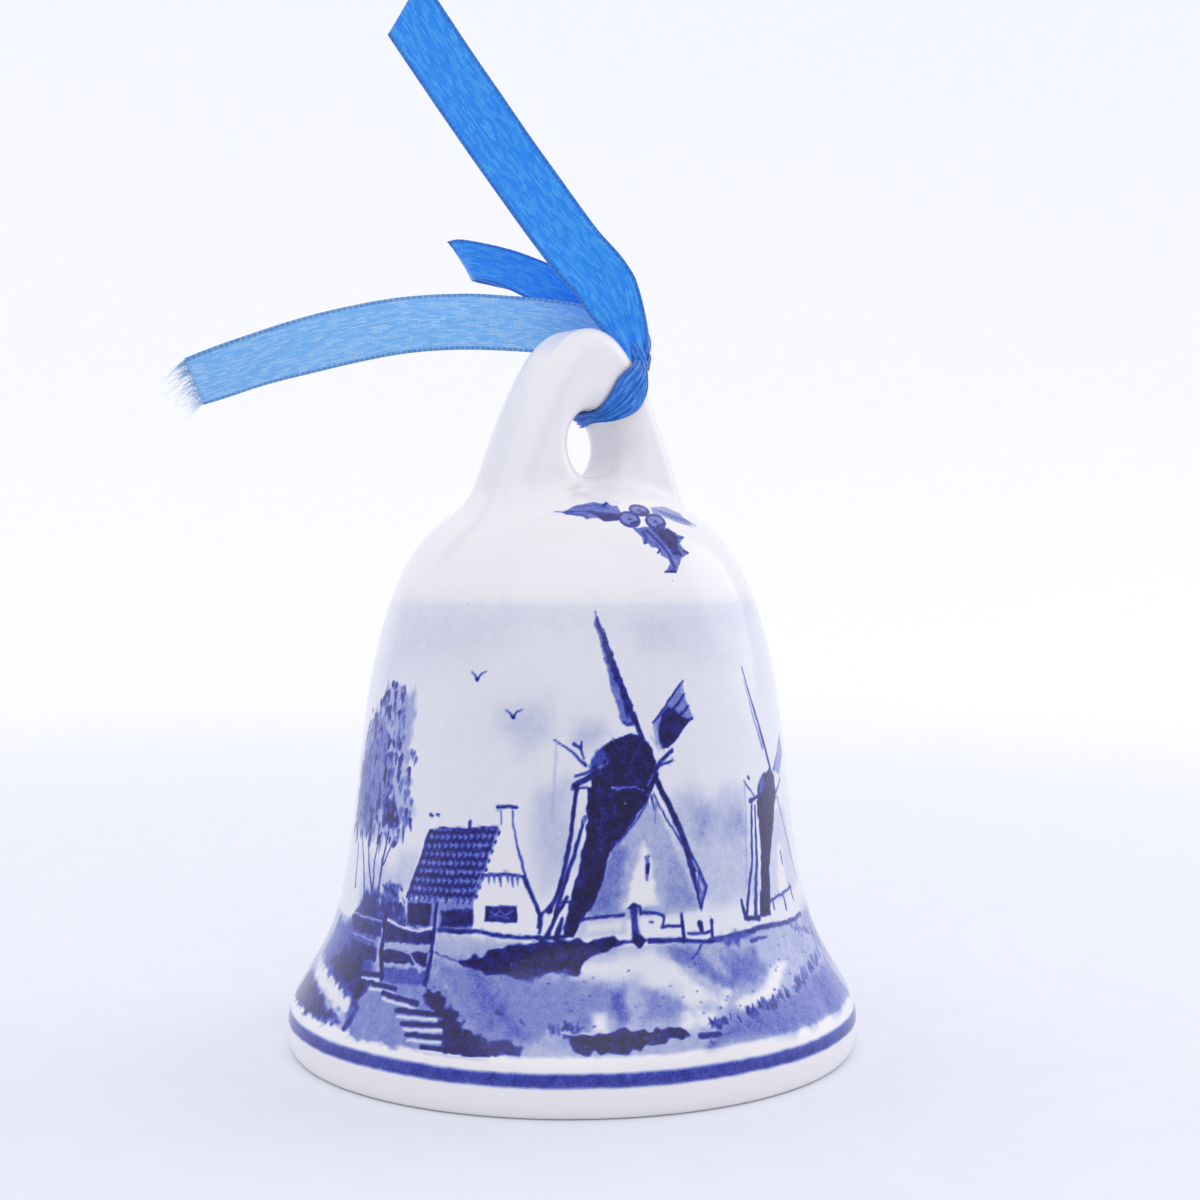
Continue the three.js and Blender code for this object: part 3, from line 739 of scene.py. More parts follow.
@dataclass
class FarMill:
    """The smaller mill at the right, seen nearly edge on as the wall turns away."""

    def marks(self) -> list[Mark]:
        """The far mill with its poles, sails and fence."""
        return [
            patch(0.16, 0.5, 0, 0.5, 23.4, 24.6, 29.4, 25.6, 30.6, 17.2, 22, 16.2),
            patch(0.03, 0.4, 0, 0.5, 26, 21.8, 27.2, 21.6, 27, 17.4, 24.6, 17),
            patch(0.97, 0.14, 0.1, 0.5, 22.5, 26.4, 22.4, 22, 21.6, 18.6, 20.6, 15.6, 22.4, 15.4, 23.6,
                20.2, 25.4, 23.6, 26.9, 26.4),
            patch(0.95, 0.14, 0.12, 0.5, 22.5, 26.2, 22.8, 27.6, 24.2, 28.9, 26, 29.3, 27.2, 28.2, 27, 26),
            patch(0.6, 0.2, 0.2, 0.5, 22.7, 27, 23.3, 28.1, 24.4, 28.7, 24.1, 27.2),
            stroke(0.16, 0.5, 0.82, 22.4, 39.5, 23.4, 36.2, 24.7, 33, 26.2, 29.4),
            stroke(0.08, 0.4, 0.42, 22.4, 38.2, 23.4, 34.6, 24.8, 31.4),
            patch(0.38, 0.2, 0, 0.5, 27, 29, 28.6, 30.2, 31.2, 32.4, 31.6, 30.4, 29, 28.4),
            stroke(0.3, 0.2, 0.55, 27, 29, 31.2, 32.4),
            stroke(0.3, 0.26, 0.5, 27.4, 26.4, 29.2, 22.2, 31.2, 17.6),
            stroke(0.3, 0.2, 0.6, 27.2, 26.8, 29.2, 28), stroke(0.16, 0.2, 0.75, 20.4, 28.6, 22, 27),
            stroke(0.3, 0.26, 0.85, 21.2, 28.9, 21.5, 28.7),
            stroke(0.14, 0.12, 0.34, 20.6, 28.4, 19.8, 22, 19.2, 18.8, soft=0.14),
            stroke(0.26, 0.4, 0.85, 21.4, 26.2, 20.6, 21, 18.6, 15.8),
            stroke(0.24, 0.5, 0.8, 22, 26, 21.4, 21, 20, 15.8),
            stroke(0.4, 0.3, 0.85, 21.2, 26.6, 22.8, 26.9),
            stroke(0.3, 0.5, 0.88, 18.2, 17.4, 18.4, 15.7, 20.4, 15.5),
            stroke(0.24, 0.2, 0.82, 21.9, 16.5, 24.6, 17, 28.2, 17.3),
            stroke(0.24, 0.2, 0.85, 23.2, 16.8, 23.3, 15.9),
            stroke(0.24, 0.26, 0.85, 25.6, 17.2, 25.8, 15.5), stroke(0.24, 0.26, 0.8, 27.8, 17.6, 28.2, 16),
            stroke(0.3, 0.24, 0.72, 26.6, 21, 26.8, 19.8),
        ]


@dataclass
class Cottage:
    """The gabled cottage with its tiled roof, two chimneys and a lattice window."""

    courses: int = 8
    tiles: int = 12

    def roof_point(self, across: float, down: float) -> tuple[float, float]:
        """A place on the tiled slope, both shares from 0 to 1."""
        top = np.array([-14.9, 24.4]) * (1 - across) + np.array([-7.0, 25.0]) * across
        low = np.array([-17.2, 17.9]) * (1 - across) + np.array([-9.3, 18.2]) * across
        x, z = top * (1 - down) + low * down
        return float(x), float(z)

    def marks(self) -> list[Mark]:
        """The cottage, from its walls to its roof."""
        marks: list[Mark] = [
            patch(0.035, 0.12, 0, 0.5, -7, 25.2, -5.5, 25, -2.9, 17.4, -3, 15.8, -9.4, 15.6, -9.4, 19.2),
            patch(0.42, 0.12, 0, 0.5, -17.1, 17.8, -9.3, 18.2, -9.2, 15.3, -16.8, 15.2),
            patch(0.95, 0.14, 0.1, 0.5, -16.9, 17.4, -14, 17.5, -13.9, 15.6, -16.7, 15.3),
            patch(0.92, 0.14, 0.12, 0.5, -12.8, 17.2, -9.3, 17.5, -9.2, 16, -12.6, 15.7),
            stroke(0.3, 0.3, 0.7, -13.3, 17.9, -13.4, 15),
            Patch([self.roof_point(0, 0), self.roof_point(1, 0), self.roof_point(1, 1),
                   self.roof_point(0, 1)], 0.46, soft=0.14, ragged=0.1),
        ]
        for course in range(self.courses):
            down = (course + 0.35) / self.courses
            wave: Points = []
            for step in range(self.tiles * 2 + 1):
                x, z = self.roof_point(step / (self.tiles * 2), down)
                wave.append((x, z + (0.11 if step % 2 else -0.11)))
            marks.append(Stroke(wave, 0.34, 0.36, 0.93))
            for tile in range(self.tiles):
                x, z = self.roof_point((tile + 0.5) / self.tiles, down + 0.06)
                if value_noise(np.array([x * 3]), np.array([z * 3]), 1.0, 5)[0] > -0.35:
                    marks.append(stroke(0.2, 0.16, 0.86, x, z, x - 0.1, z - 0.32))
        marks += [
            stroke(0.22, 0.26, 0.85, -14.9, 24.4, -17.2, 17.9),
            stroke(0.22, 0.2, 0.8, -14.6, 24.6, -11, 24.7, -7.2, 25.1),
            stroke(0.42, 0.3, 0.8, -10.2, 25.4, -10.2, 24.6),
            patch(0.04, 0.1, 0, 0.5, -15, 25.6, -14, 25.7, -13.8, 24.6, -15, 24.4),
            stroke(0.3, 0.2, 0.88, -15.1, 25.75, -14.7, 25.65),
            stroke(0.26, 0.24, 0.8, -14.2, 25.8, -13.9, 25.8),
            patch(0.03, 0.1, 0, 0.5, -6.9, 26.7, -5.6, 26.7, -5.4, 24.8, -7, 24.8),
            stroke(0.3, 0.26, 0.92, -7.3, 27, -6.3, 27.1, -5.3, 27),
            stroke(0.14, 0.1, 0.7, -6.95, 26.7, -6.8, 25.4),
            stroke(0.14, 0.3, 0.72, -5.7, 26.7, -5.6, 25.3, -4.2, 20.6, -2.9, 17.6),
            stroke(0.14, 0.12, 0.3, -7.1, 25, -8.2, 21.6, -9.4, 19),
            stroke(0.26, 0.24, 0.92, -8.5, 20.6, -6.2, 20.85, -4.3, 20.7),
            stroke(0.3, 0.36, 0.88, -4.4, 20.6, -3.5, 18.8, -2.7, 17.2, -2.8, 16.2),
            stroke(0.16, 0.1, 0.45, -8.4, 20.5, -9.2, 18.8, -9.4, 17.6),
        ]
        for x, drop in ((-7.9, 0.9), (-7.3, 0.7), (-6.7, 1.0), (-6.0, 0.6), (-5.5, 1.0), (-5.0, 0.8)):
            marks.append(stroke(0.36, 0.1, 0.6, x, 20.7, x + 0.1, 20.7 - drop))
        marks += [
            patch(0.9, 0.1, 0.06, 0.5, -8.1, 17.85, -5, 18, -4.9, 16.6, -8, 16.5),
            stroke(0.14, 0.14, 0.42, -7.6, 17.4, -7, 17.1, -6.6, 17.5, -5.9, 17.2, -5.4, 17.5),
            stroke(0.1, 0.12, 0.45, -7.6, 16.9, -6.6, 17, -5.6, 16.9),
            stroke(0.42, 0.3, 0.9, -13, 15.2, -9, 15.5, -4.4, 15.2, -3, 15.3),
            patch(0.24, 0.4, 0.2, 0.5, -12.8, 15, -4.2, 14.9, -4.6, 14.1, -12.8, 14),
        ]
        return marks


@dataclass
class Trees:
    """The tall tree at the left edge with its trunks, and the bushes round its foot."""

    seed: int = 11

    def marks(self) -> list[Mark]:
        """Foliage as many short dabs over soft washes, then the trunks."""
        rng = np.random.default_rng(self.seed)
        marks: list[Mark] = [
            patch(0.26, 0.5, 0.9, 0.9, -23.4, 37.4, -21.4, 36.6, -20.8, 32.4, -18.6, 29.6, -17.9, 26,
                -19.4, 23.2, -27.6, 22.2, -31.6, 26.4, -31, 32, -27.4, 35.2),
            patch(0.26, 0.4, 0.9, 0.7, -26.8, 34.2, -24.6, 35, -22.6, 31, -22.4, 25.2, -27.8, 24.2, -30.6,
                27.6, adds=True),
            patch(0.34, 0.8, 0.7, 0.5, -30.6, 29.4, -27.6, 31.4, -25.6, 26, -26.2, 22.8, -30.8, 23.4,
                adds=True),
            patch(0.3, 0.4, 0.9, 0.8, -25.8, 37.6, -22, 38, -19, 36.6, -17.9, 33.4, -18.8, 30.4, -22.6,
                31.6),
            patch(0.9, 0.3, 0.3, 0.8, -22.9, 26.9, -20.2, 26.7, -19.8, 24.4, -22.6, 24.2),
        ]
        for _ in range(330):
            x, z = rng.uniform(-31.4, -17.6), rng.uniform(22.4, 38.2)
            centre = -24.6 + 1.4 * math.sin(z * 0.5) + 0.25 * max(0.0, z - 29)
            spread = 6.6 * (1 - ((z - 27) / 11.5) ** 2) + 0.6
            if abs(x - centre) > spread:
                continue
            lean, size = rng.uniform(-0.3, 0.3), rng.uniform(0.3, 1.1)
            tone = rng.choice([0.5, 0.74, 0.95], p=[0.45, 0.3, 0.25])
            marks.append(Stroke([(x, z), (x + lean, z - size)], rng.uniform(0.25, 0.75), 0.14, tone))
        for points, wide in (([(-25.6, 23.4), (-24.6, 20.2), (-22.6, 17.0)], 0.26),
                             ([(-27.4, 22.8), (-25.6, 19.4), (-24.2, 16.4)], 0.26),
                             ([(-21.2, 23.6), (-21.8, 20.8), (-21.9, 16.4)], 0.3),
                             ([(-22.6, 23.4), (-23.4, 20.6), (-22.8, 17.4)], 0.22),
                             ([(-20.0, 23.2), (-21.6, 20.4)], 0.2),
                             ([(-28.4, 21.6), (-27.2, 17.4)], 0.24)):
            marks.append(Stroke(points, wide * 0.7, wide, 0.86))
        marks += [
            patch(0.55, 0.25, 0.35, 0.6, -20.8, 19, -18.6, 18.9, -18.2, 17.2, -21, 16.8),
            patch(0.85, 0.4, 0.4, 0.8, -24.2, 17.6, -21.6, 17.8, -20.2, 15, -23.6, 13.4, -26.4, 14.4),
            patch(0.78, 0.2, 0.3, 0.7, -20.9, 17.2, -17.2, 17, -17, 15.2, -20.6, 14.8),
        ]
        for _ in range(46):
            x, z = rng.uniform(-22.0, -17.2), rng.uniform(15.2, 19.2)
            marks.append(Stroke([(x, z), (x + 0.2, z - 0.2)], rng.uniform(0.2, 0.4), 0.14,
                                rng.choice([0.5, 0.9])))
        return marks


@dataclass
class Footbridge:
    """The railed plank bridge and its steps, in front of the tree."""

    def marks(self) -> list[Mark]:
        """Boards, posts and steps, with the dark banks on both sides."""
        marks: list[Mark] = [
            patch(0.62, 0.5, 0.5, 1, -31, 13.8, -21, 14.8, -19.6, 10.4, -20.4, 6.6, -24, 8.4, -32, 10.2),
            patch(0.9, 0.3, 0.5, 0.7, -25.8, 11.8, -22.4, 12, -19.2, 8.9, -17.3, 7.5, -17.6, 5.5, -20, 5.7,
                -20, 7.6, -24.2, 9.1, -28, 10.2),
            patch(0.88, 0.4, 0.4, 0.5, -33, 8.2, -28.6, 8, -26.2, 7.3, -22.6, 6.5, -21.2, 5.9, -25, 5.5,
                -34, 5.5),
            patch(0.05, 0.35, 0.3, 0.5, -32.1, 9.6, -25.7, 9, -21.3, 8, -20.3, 7.1, -21.5, 6.7, -24.5, 7.5,
                -30.2, 8.3),
            patch(0.4, 0.3, 0.25, 0.5, -17.6, 11.2, -12.8, 11.6, -9.2, 9.6, -7, 5.5, -19.2, 5, -20, 8.4),
            patch(0.94, 0.2, 0.4, 0.5, -12.9, 10.4, -11.4, 10, -9.7, 8.7, -8.3, 7.6, -6.6, 6.8, -6.1, 5.9,
                -5.4, 5.5, -9.6, 5.4, -9.9, 6.7, -10.9, 7.9, -12.2, 9),
            patch(0.9, 0.12, 0.12, 0.5, -19.6, 15.2, -13.3, 15.2, -13.3, 14, -19.2, 13.4),
            patch(0.9, 0.12, 0.14, 0.5, -19.7, 12.8, -13.5, 13.2, -13.5, 12.1, -19.1, 11.7),
            patch(0.86, 0.14, 0.14, 0.5, -26.4, 14.8, -20.2, 14.8, -20, 13.8, -25.6, 13.6),
            patch(0.86, 0.14, 0.14, 0.5, -25.4, 12.8, -20, 12.8, -19.8, 11.6, -24.6, 11.6),
            patch(0.6, 0.2, 0.2, 0.5, -18.8, 11.4, -13.4, 11.6, -13.2, 10.4, -17.8, 10.2),
            stroke(0.3, 0.26, 0.08, -19.7, 15.5, -17.6, 15.1, -15.2, 14.9, -13.2, 15.5),
            stroke(0.2, 0.26, 0.3, -19.4, 13.1, -16, 12.9, -13.4, 13.6),
            stroke(0.2, 0.2, 0.22, -26, 15.1, -20.4, 15.2),
            stroke(0.16, 0.16, 0.34, -25.4, 13.3, -20.2, 13.3),
            stroke(0.3, 0.46, 0.88, -13.4, 17.6, -13.2, 13.6, -13.1, 10.6),
            stroke(0.14, 0.14, 0.2, -13.05, 17.2, -12.9, 12.4),
            stroke(0.5, 0.5, 0.93, -20, 16, -19.4, 12.6, -18.2, 10.4),
            stroke(0.18, 0.3, 0.25, -15.8, 13, -14, 11.6),
        ]
        for left, low, right, high in ((-21.2, 10.4, -18.3, 10.6), (-19.6, 9.8, -16.1, 9.8),
                                       (-17.4, 9.2, -13.2, 8.9), (-15.2, 8.1, -10.9, 8.3),
                                       (-14.1, 7.2, -10.2, 7.4), (-13.4, 6.35, -10.0, 6.5),
                                       (-11.7, 5.5, -6.0, 5.55)):
            marks.append(stroke(0.36, 0.42, 0.92, left, low, (left + right) / 2, (low + high) / 2, right,
                high))
            marks.append(stroke(0.22, 0.24, 0.12, left + 0.3, low - 0.46, right - 0.2, high - 0.44))
        return marks


@dataclass
class Meadow:
    """The ground: washes, the bank under the mill, water plants and reeds, down to a clean edge."""

    low: float = 5.5
    seed: int = 23

    def marks(self) -> list[Mark]:
        """The ground from the horizon down."""
        rng = np.random.default_rng(self.seed)
        marks: list[Mark] = [
            patch(0.27, 0.22, 0, 0.5, -78, self.low, 78, self.low, 78, 14.4, -78, 14.4),
            patch(0.22, 1, 0.5, 1.3, -9.4, 12.6, -1, 11.6, 4.4, 10.8, 3.2, 8, -3.6, 6.6, -6.8, 8.6,
                adds=True),
            patch(0.22, 0.6, 0.3, 0.5, -13.2, 12.8, -8.4, 12, -5, 9.4, -3, 6.8, -6.2, 5.9, -9.6, 9.2,
                adds=True),
            patch(0.07, 0.7, 0.35, 1.2, 0, 13.4, 7.6, 13.8, 11, 12, 12.6, 9.4, 10.4, 8.8, 6, 11.6, 0.6,
                11.8),
            patch(0, 0.45, 0.3, 0.8, 9.2, 12.8, 11.6, 12, 14.4, 9.8, 13.4, 8.8, 11.2, 10.6),
            patch(0.03, 0.4, 0.3, 0.8, 14.6, 8.8, 17.6, 9.4, 21.4, 11.2, 23, 10.8, 18.4, 8.2, 15, 8),
            patch(0.3, 0.9, 0.4, 0.5, 14.6, 12.6, 18.6, 12.8, 19.4, 10.4, 15, 10.2, adds=True),
            patch(0.4, 0.5, 0.2, 0.5, 3.4, 10.6, 4.6, 10.6, 5, 8.2, 4, 8, adds=True),
            patch(0.2, 0.8, 0.3, 0.5, 6.4, 10.6, 9.6, 10.4, 9.8, 8.4, 6.2, 8.4, adds=True),
            patch(0.05, 0.4, 0, 0.5, 2, 9, 3, 9, 3.2, 7.4, 2, 7.4),
            patch(0.06, 0.5, 0.3, 0.5, 9.6, 8.4, 12.6, 8.6, 12.2, 7.4, 9, 7.4),
            patch(0.32, 0.7, 0.5, 1.4, 12.8, 7.6, 22.4, 8.6, 32, 9.4, 34, 5.4, 11, 5.6, adds=True),
            patch(0.2, 1.2, 0.6, 0.5, 30, 15.2, 40, 15, 46, 9, 36, 8, 31, 11, adds=True),
            patch(0.24, 0.5, 0.4, 1, 9.1, 14.1, 12.3, 13.4, 14.9, 10.3, 13.3, 8.9, 11.1, 11, adds=True),
            # The bank below the mill.
            patch(0.95, 0.16, 0.32, 0.8, -13.2, 13.4, -9.6, 12.9, -6, 14.2, -2.4, 14.9, 3, 15.1, 7.8, 15.2,
                7.6, 14.6, 4, 14.3, 1.8, 13.6, 0.6, 12.2, -1.6, 12.5, -3.2, 11.6, -5.6, 12.2, -8.4, 12),
            stroke(0.5, 0.3, 0.82, 7.4, 14.8, 9.4, 14.7, 11, 14.6, 13.4, 14.2),
            stroke(0.2, 0.14, 0.7, 12.6, 14, 12, 13.2, 11.4, 12.9),
            stroke(0.5, 0.4, 0.8, 13.6, 14.3, 16.4, 14.4, 20.4, 14.6, 25.6, 14.3, 29.6, 14.4),
            patch(0.6, 0.3, 0.35, 0.6, 14, 14.4, 17.6, 14.7, 18.8, 14.2, 17, 13.6, 14.8, 13.9),
            stroke(0.4, 0.2, 0.7, 18.6, 13.7, 21, 13.7),
            # Water plants in the foreground.
            patch(0.95, 0.14, 0.25, 0.5, -0.6, 7.5, 2, 7.35, 4.2, 7.6, 6.4, 7.3, 9, 7.5, 9.9, 6.7, 8, 6.6,
                6.4, 6.3, 5.2, 5.9, 3.4, 5.75, 1.2, 5.8, 0.4, 6.2),
            stroke(0.14, 0.12, 0.16, -1.6, 7.7, 0.4, 7.3, 2.6, 7.5),
            stroke(0.5, 0.34, 0.85, 10.6, 6.55, 12.3, 6.5), stroke(0.3, 0.2, 0.6, 11.3, 6, 11.5, 5.95),
            patch(0.88, 0.16, 0.2, 0.5, -6, 6.6, -4.6, 6.7, -3.6, 6.2, -3.8, 5.7, -6.2, 5.6),
            stroke(0.34, 0.26, 0.85, -5.9, 8.9, -5.4, 8.8), stroke(0.2, 0.14, 0.7, -3.8, 8.4, -3.5, 8),
        ]
        # Reeds: short upright dabs along three rising lines.
        for x0, z0, x1, z1, many, tall in ((-1.8, 7.7, 1.2, 7.7, 14, 0.5), (11.6, 7.2, 21.4, 8.4, 62, 0.6),
                                           (22.0, 8.6, 33.0, 10.6, 54, 0.9), (34.0, 9.0, 60.0, 8.0, 60, 0.8),
                                           (26.0, 13.8, 36.0, 10.4, 34, 0.8), (-60.0, 8.0, -34.0, 9.0, 60, 0.8)):
            for _ in range(many):
                t = rng.uniform(0, 1)
                x, z = x0 + (x1 - x0) * t, z0 + (z1 - z0) * t + rng.uniform(-0.35, 0.3)
                rise = rng.uniform(0.2, tall)
                marks.append(Stroke([(x, z), (x + rng.uniform(-0.2, 0.3), z + rise)],
                                    rng.uniform(0.16, 0.4), 0.1,
                                    rng.choice([0.6, 0.85])))
        # Small stipple in the grass.
        for _ in range(90):
            x, z = rng.uniform(-9, 32), rng.uniform(6.2, 13.2)
            marks.append(Stroke([(x, z), (x + 0.12, z)],
                                rng.uniform(0.12, 0.24), 0.1, rng.choice([0.45, 0.6])))
        return marks


@dataclass
class Birds:
    """Two small birds in the sky."""

    def marks(self) -> list[Mark]:
        """Each bird is two curved wings that meet in a darker body."""
        marks: list[Mark] = []
        for x, z, size in ((-10.3, 39.0, 1.0), (-6.0, 35.5, 1.05)):
            marks += [
                stroke(0.08, 0.26, 0.78, x - 0.85 * size, z + 0.42, x - 0.35 * size, z + 0.2, x, z - 0.2),
                stroke(0.08, 0.26, 0.78, x + 0.95 * size, z + 0.5, x + 0.4 * size, z + 0.3, x, z - 0.2),
                stroke(0.3, 0.2, 0.9, x - 0.1, z - 0.12, x + 0.14, z - 0.26),
            ]
        return marks


@dataclass
class BackScene:
    """What runs round the far side: a low line of trees, a boat and its reflection."""

    seed: int = 37

    def marks(self) -> list[Mark]:
        """The far shore and a small sailing boat on the water."""
        rng = np.random.default_rng(self.seed)
        marks: list[Mark] = [
            patch(0.34, 0.5, 0.5, 1.6, 34, 14, 41, 16.6, 47, 15.4, 54, 17.2, 61, 15.2, 68, 16.4, 78, 15.2,
                78, 13.4, 34, 13.2),
            patch(0.34, 0.5, 0.5, 1.6, -78, 15.2, -66, 16.8, -58, 15, -49, 17, -42, 15.6, -34, 14.4, -34,
                13.2, -78, 13.4),
            patch(0.14, 1.6, 0.6, 0.5, 56, 30, 62, 31.4, 70, 30.2, 66, 28.4, 58, 28.2, adds=True),
            patch(0.14, 1.6, 0.6, 0.5, -64, 34, -55, 35.2, -47, 33.4, -52, 31.6, -61, 31.8, adds=True),
            # The boat.
            patch(0.95, 0.12, 0, 0.5, -72, 14.4, -71, 12.6, -63.6, 12.6, -61.8, 14.8, -65, 14.1),
            stroke(0.3, 0.16, 0.9, -67.4, 13.8, -67.2, 30.4),
            patch(0.3, 0.14, 0, 0.5, -67, 29.2, -62.4, 17.4, -66.9, 16.2),
            stroke(0.16, 0.2, 0.8, -67, 29.4, -64.2, 22, -62.2, 17.4, -66.9, 16.1),
            patch(0.16, 0.14, 0, 0.5, -67.7, 27, -71.6, 16.8, -67.8, 16.2),
            stroke(0.14, 0.16, 0.75, -67.6, 27.2, -71.8, 16.7, -67.8, 16),
            stroke(0.24, 0.1, 0.8, -67.2, 30.4, -65.2, 30.8),
        ]
        for _ in range(120):
            x = rng.uniform(34, 116)
            x = x if x < 75.4 else x - 150.8
            z = 14.0 + rng.uniform(0, 2.4)
            marks.append(Stroke([(x, z), (x + rng.uniform(-0.2, 0.2), z + 0.5)], rng.uniform(0.3, 0.7), 0.2,
                                rng.choice([0.5, 0.7, 0.88])))
        for row in range(9):
            z = 12.0 - row * 0.62
            for _ in range(5):
                x = -67.0 + rng.uniform(-4.5, 4.5)
                marks.append(Stroke([(x, z), (x + rng.uniform(0.8, 2.4), z + 0.05)], 0.2, 0.12,
                                    rng.choice([0.5, 0.7])))
        return marks


@dataclass
class HollySprig:
    """Holly on the shoulder: a leaf to the left, a leaf hanging down, a thin one and three berries."""

    def marks(self) -> list[Mark]:
        """Leaves with a dark vein side, spiny tips and berries with a dot."""
        at = {"sheet": Sheet.SHOULDER}
        marks: list[Mark] = [
            # Left leaf.
            patch(0.5, 0.07, 0.05, 0.3, -0.9, 54.75, 0.3, 55.45, 2.2, 55.85, 3.1, 55.7, 3.5, 55.95, 3.9,
                55.5, 4.5, 55.5, 4.9, 54.8, 5.2, 54.2, 4.4, 53.95, 3.3, 53.9, 2.6, 54.25, 2, 54.2, 1.5, 54,
                1.2, 54.3, 0, 54.5, **at),
            patch(0.86, 0.09, 0.06, 0.3, 1.6, 54.9, 3.4, 54.75, 4.7, 54.6, 5.2, 54.1, 4.2, 53.95, 3.2,
                53.9, 2.6, 54.35, **at),
            stroke(0.06, 0.2, 0.8, -1.6, 54.85, -0.5, 54.8, 1.2, 54.9, 3, 54.75, 4.8, 54.4, soft=0.05,
                **at),
            stroke(0.08, 0.12, 0.72, 0.4, 55.3, 2.2, 55.55, 3.8, 55.2, soft=0.05, **at),
            stroke(0.08, 0.1, 0.74, -0.6, 54.6, 0.8, 54.55, 1.8, 54.2, soft=0.05, **at),
            stroke(0.3, 0.14, 0.86, 3.2, 55.5, 3.5, 55.75, soft=0.06, **at),
            # Thin leaf at the right.
            patch(0.36, 0.1, 0.06, 0.5, 7.9, 55.4, 9.4, 55.55, 11, 54.8, 12.3, 53.4, 10.6, 53.9, 9.2, 54.4,
                8.2, 54.7, **at),
            # Leaf hanging down.
            patch(0.5, 0.07, 0.06, 0.3, 6.1, 53.2, 7.3, 53.4, 8.9, 53.5, 10.1, 52.9, 11.2, 52.35, 10.7,
                51.7, 11.3, 51, 11.6, 50.75, 10.9, 50.3, 10.6, 49.5, 10.3, 48.85, 9.2, 48.9, 9.7, 49.7,
                9.5, 50.2, 8.8, 50.55, 8.5, 51.2, 7.9, 51.3, 7.6, 51.7, 7.1, 51.55, 6.9, 52.3, **at),
            patch(0.9, 0.12, 0.08, 0.3, 7.9, 53.3, 9.6, 53.2, 10.6, 52.4, 10.5, 51.3, 10.9, 50.6, 10.1,
                50.6, 9.2, 51.8, **at),
            stroke(0.22, 0.14, 0.86, 7.4, 53, 8.6, 51.9, 9.6, 50.6, 10.1, 49.4, soft=0.06, **at),
            stroke(0.14, 0.2, 0.82, 7, 52.9, 7.4, 52.2, 7.2, 51.7, soft=0.05, **at),
            stroke(0.12, 0.2, 0.8, 8.4, 51.6, 8.7, 51, 8.5, 50.8, soft=0.05, **at),
            stroke(0.2, 0.24, 0.84, 9.2, 48.95, 10.2, 48.95, soft=0.05, **at),
            stroke(0.24, 0.24, 0.86, 11.1, 51, 11.5, 50.8, soft=0.05, **at),
            stroke(0.16, 0.16, 0.8, 10.5, 52.3, 11.1, 52.35, soft=0.05, **at),
        ]
        for step in range(7):
            x, z = 8.4 + step * 0.5, 55.25 - step * 0.16
            marks.append(stroke(0.08, 0.06, 0.72, x, z, x + 1.2, z - 0.75, soft=0.05, **at))
        for x, z, wide, tall in ((5.75, 54.1, 1.0, 0.72), (6.75, 55.05, 0.95, 0.5), (8.35, 53.9, 0.95, 0.7)):
            ring: Points = [(x + wide * math.cos(a), z + tall * math.sin(a) - 0.18 * math.cos(a))
                            for a in np.linspace(0, 2 * math.pi, 13)[:-1]]
            marks += [
                Patch(ring, 0.46, soft=0.07, **at),
                Stroke(ring + ring[:1], 0.22, 0.22, 0.8, soft=0.06, **at),
                stroke(0.34, 0.2, 0.92, x + 0.25, z - tall * 0.62, x + wide * 0.9, z - 0.2, soft=0.08,
                    **at),
                stroke(0.22, 0.16, 0.92, x - 0.05, z + 0.02, x + 0.15, z - 0.02, soft=0.05, **at),
            ]
        return marks


@dataclass
class RimLine:
    """The banded line that the painter turns on the rim, with a slightly uneven edge."""

    height: float = 3.6
    width: float = 1.2

    def ink(self, a: Array, z: Array, ink: Array) -> tuple[Array, Array]:
        """The ink after the line, and the distance to its edge.

        Args:
            a: Millimetres round the wall.
            z: Millimetres up.
            ink: The ink that is there already.

        Returns:
            The new ink, and distances to the line's edges.
        """
        wobble = 0.05 * value_noise(a, z * 0, 7.0, 3) + 0.04 * value_noise(a, z, 0.8, 4)
        edge = np.abs(z - self.height - wobble) - self.width / 2
        cover = np.clip(0.5 - edge / 0.36, 0, 1)
        body = 0.7 + 0.1 * np.clip(-(z - self.height) / self.width, -0.5, 0.5)
        return ink + cover * (body - ink), np.abs(edge)


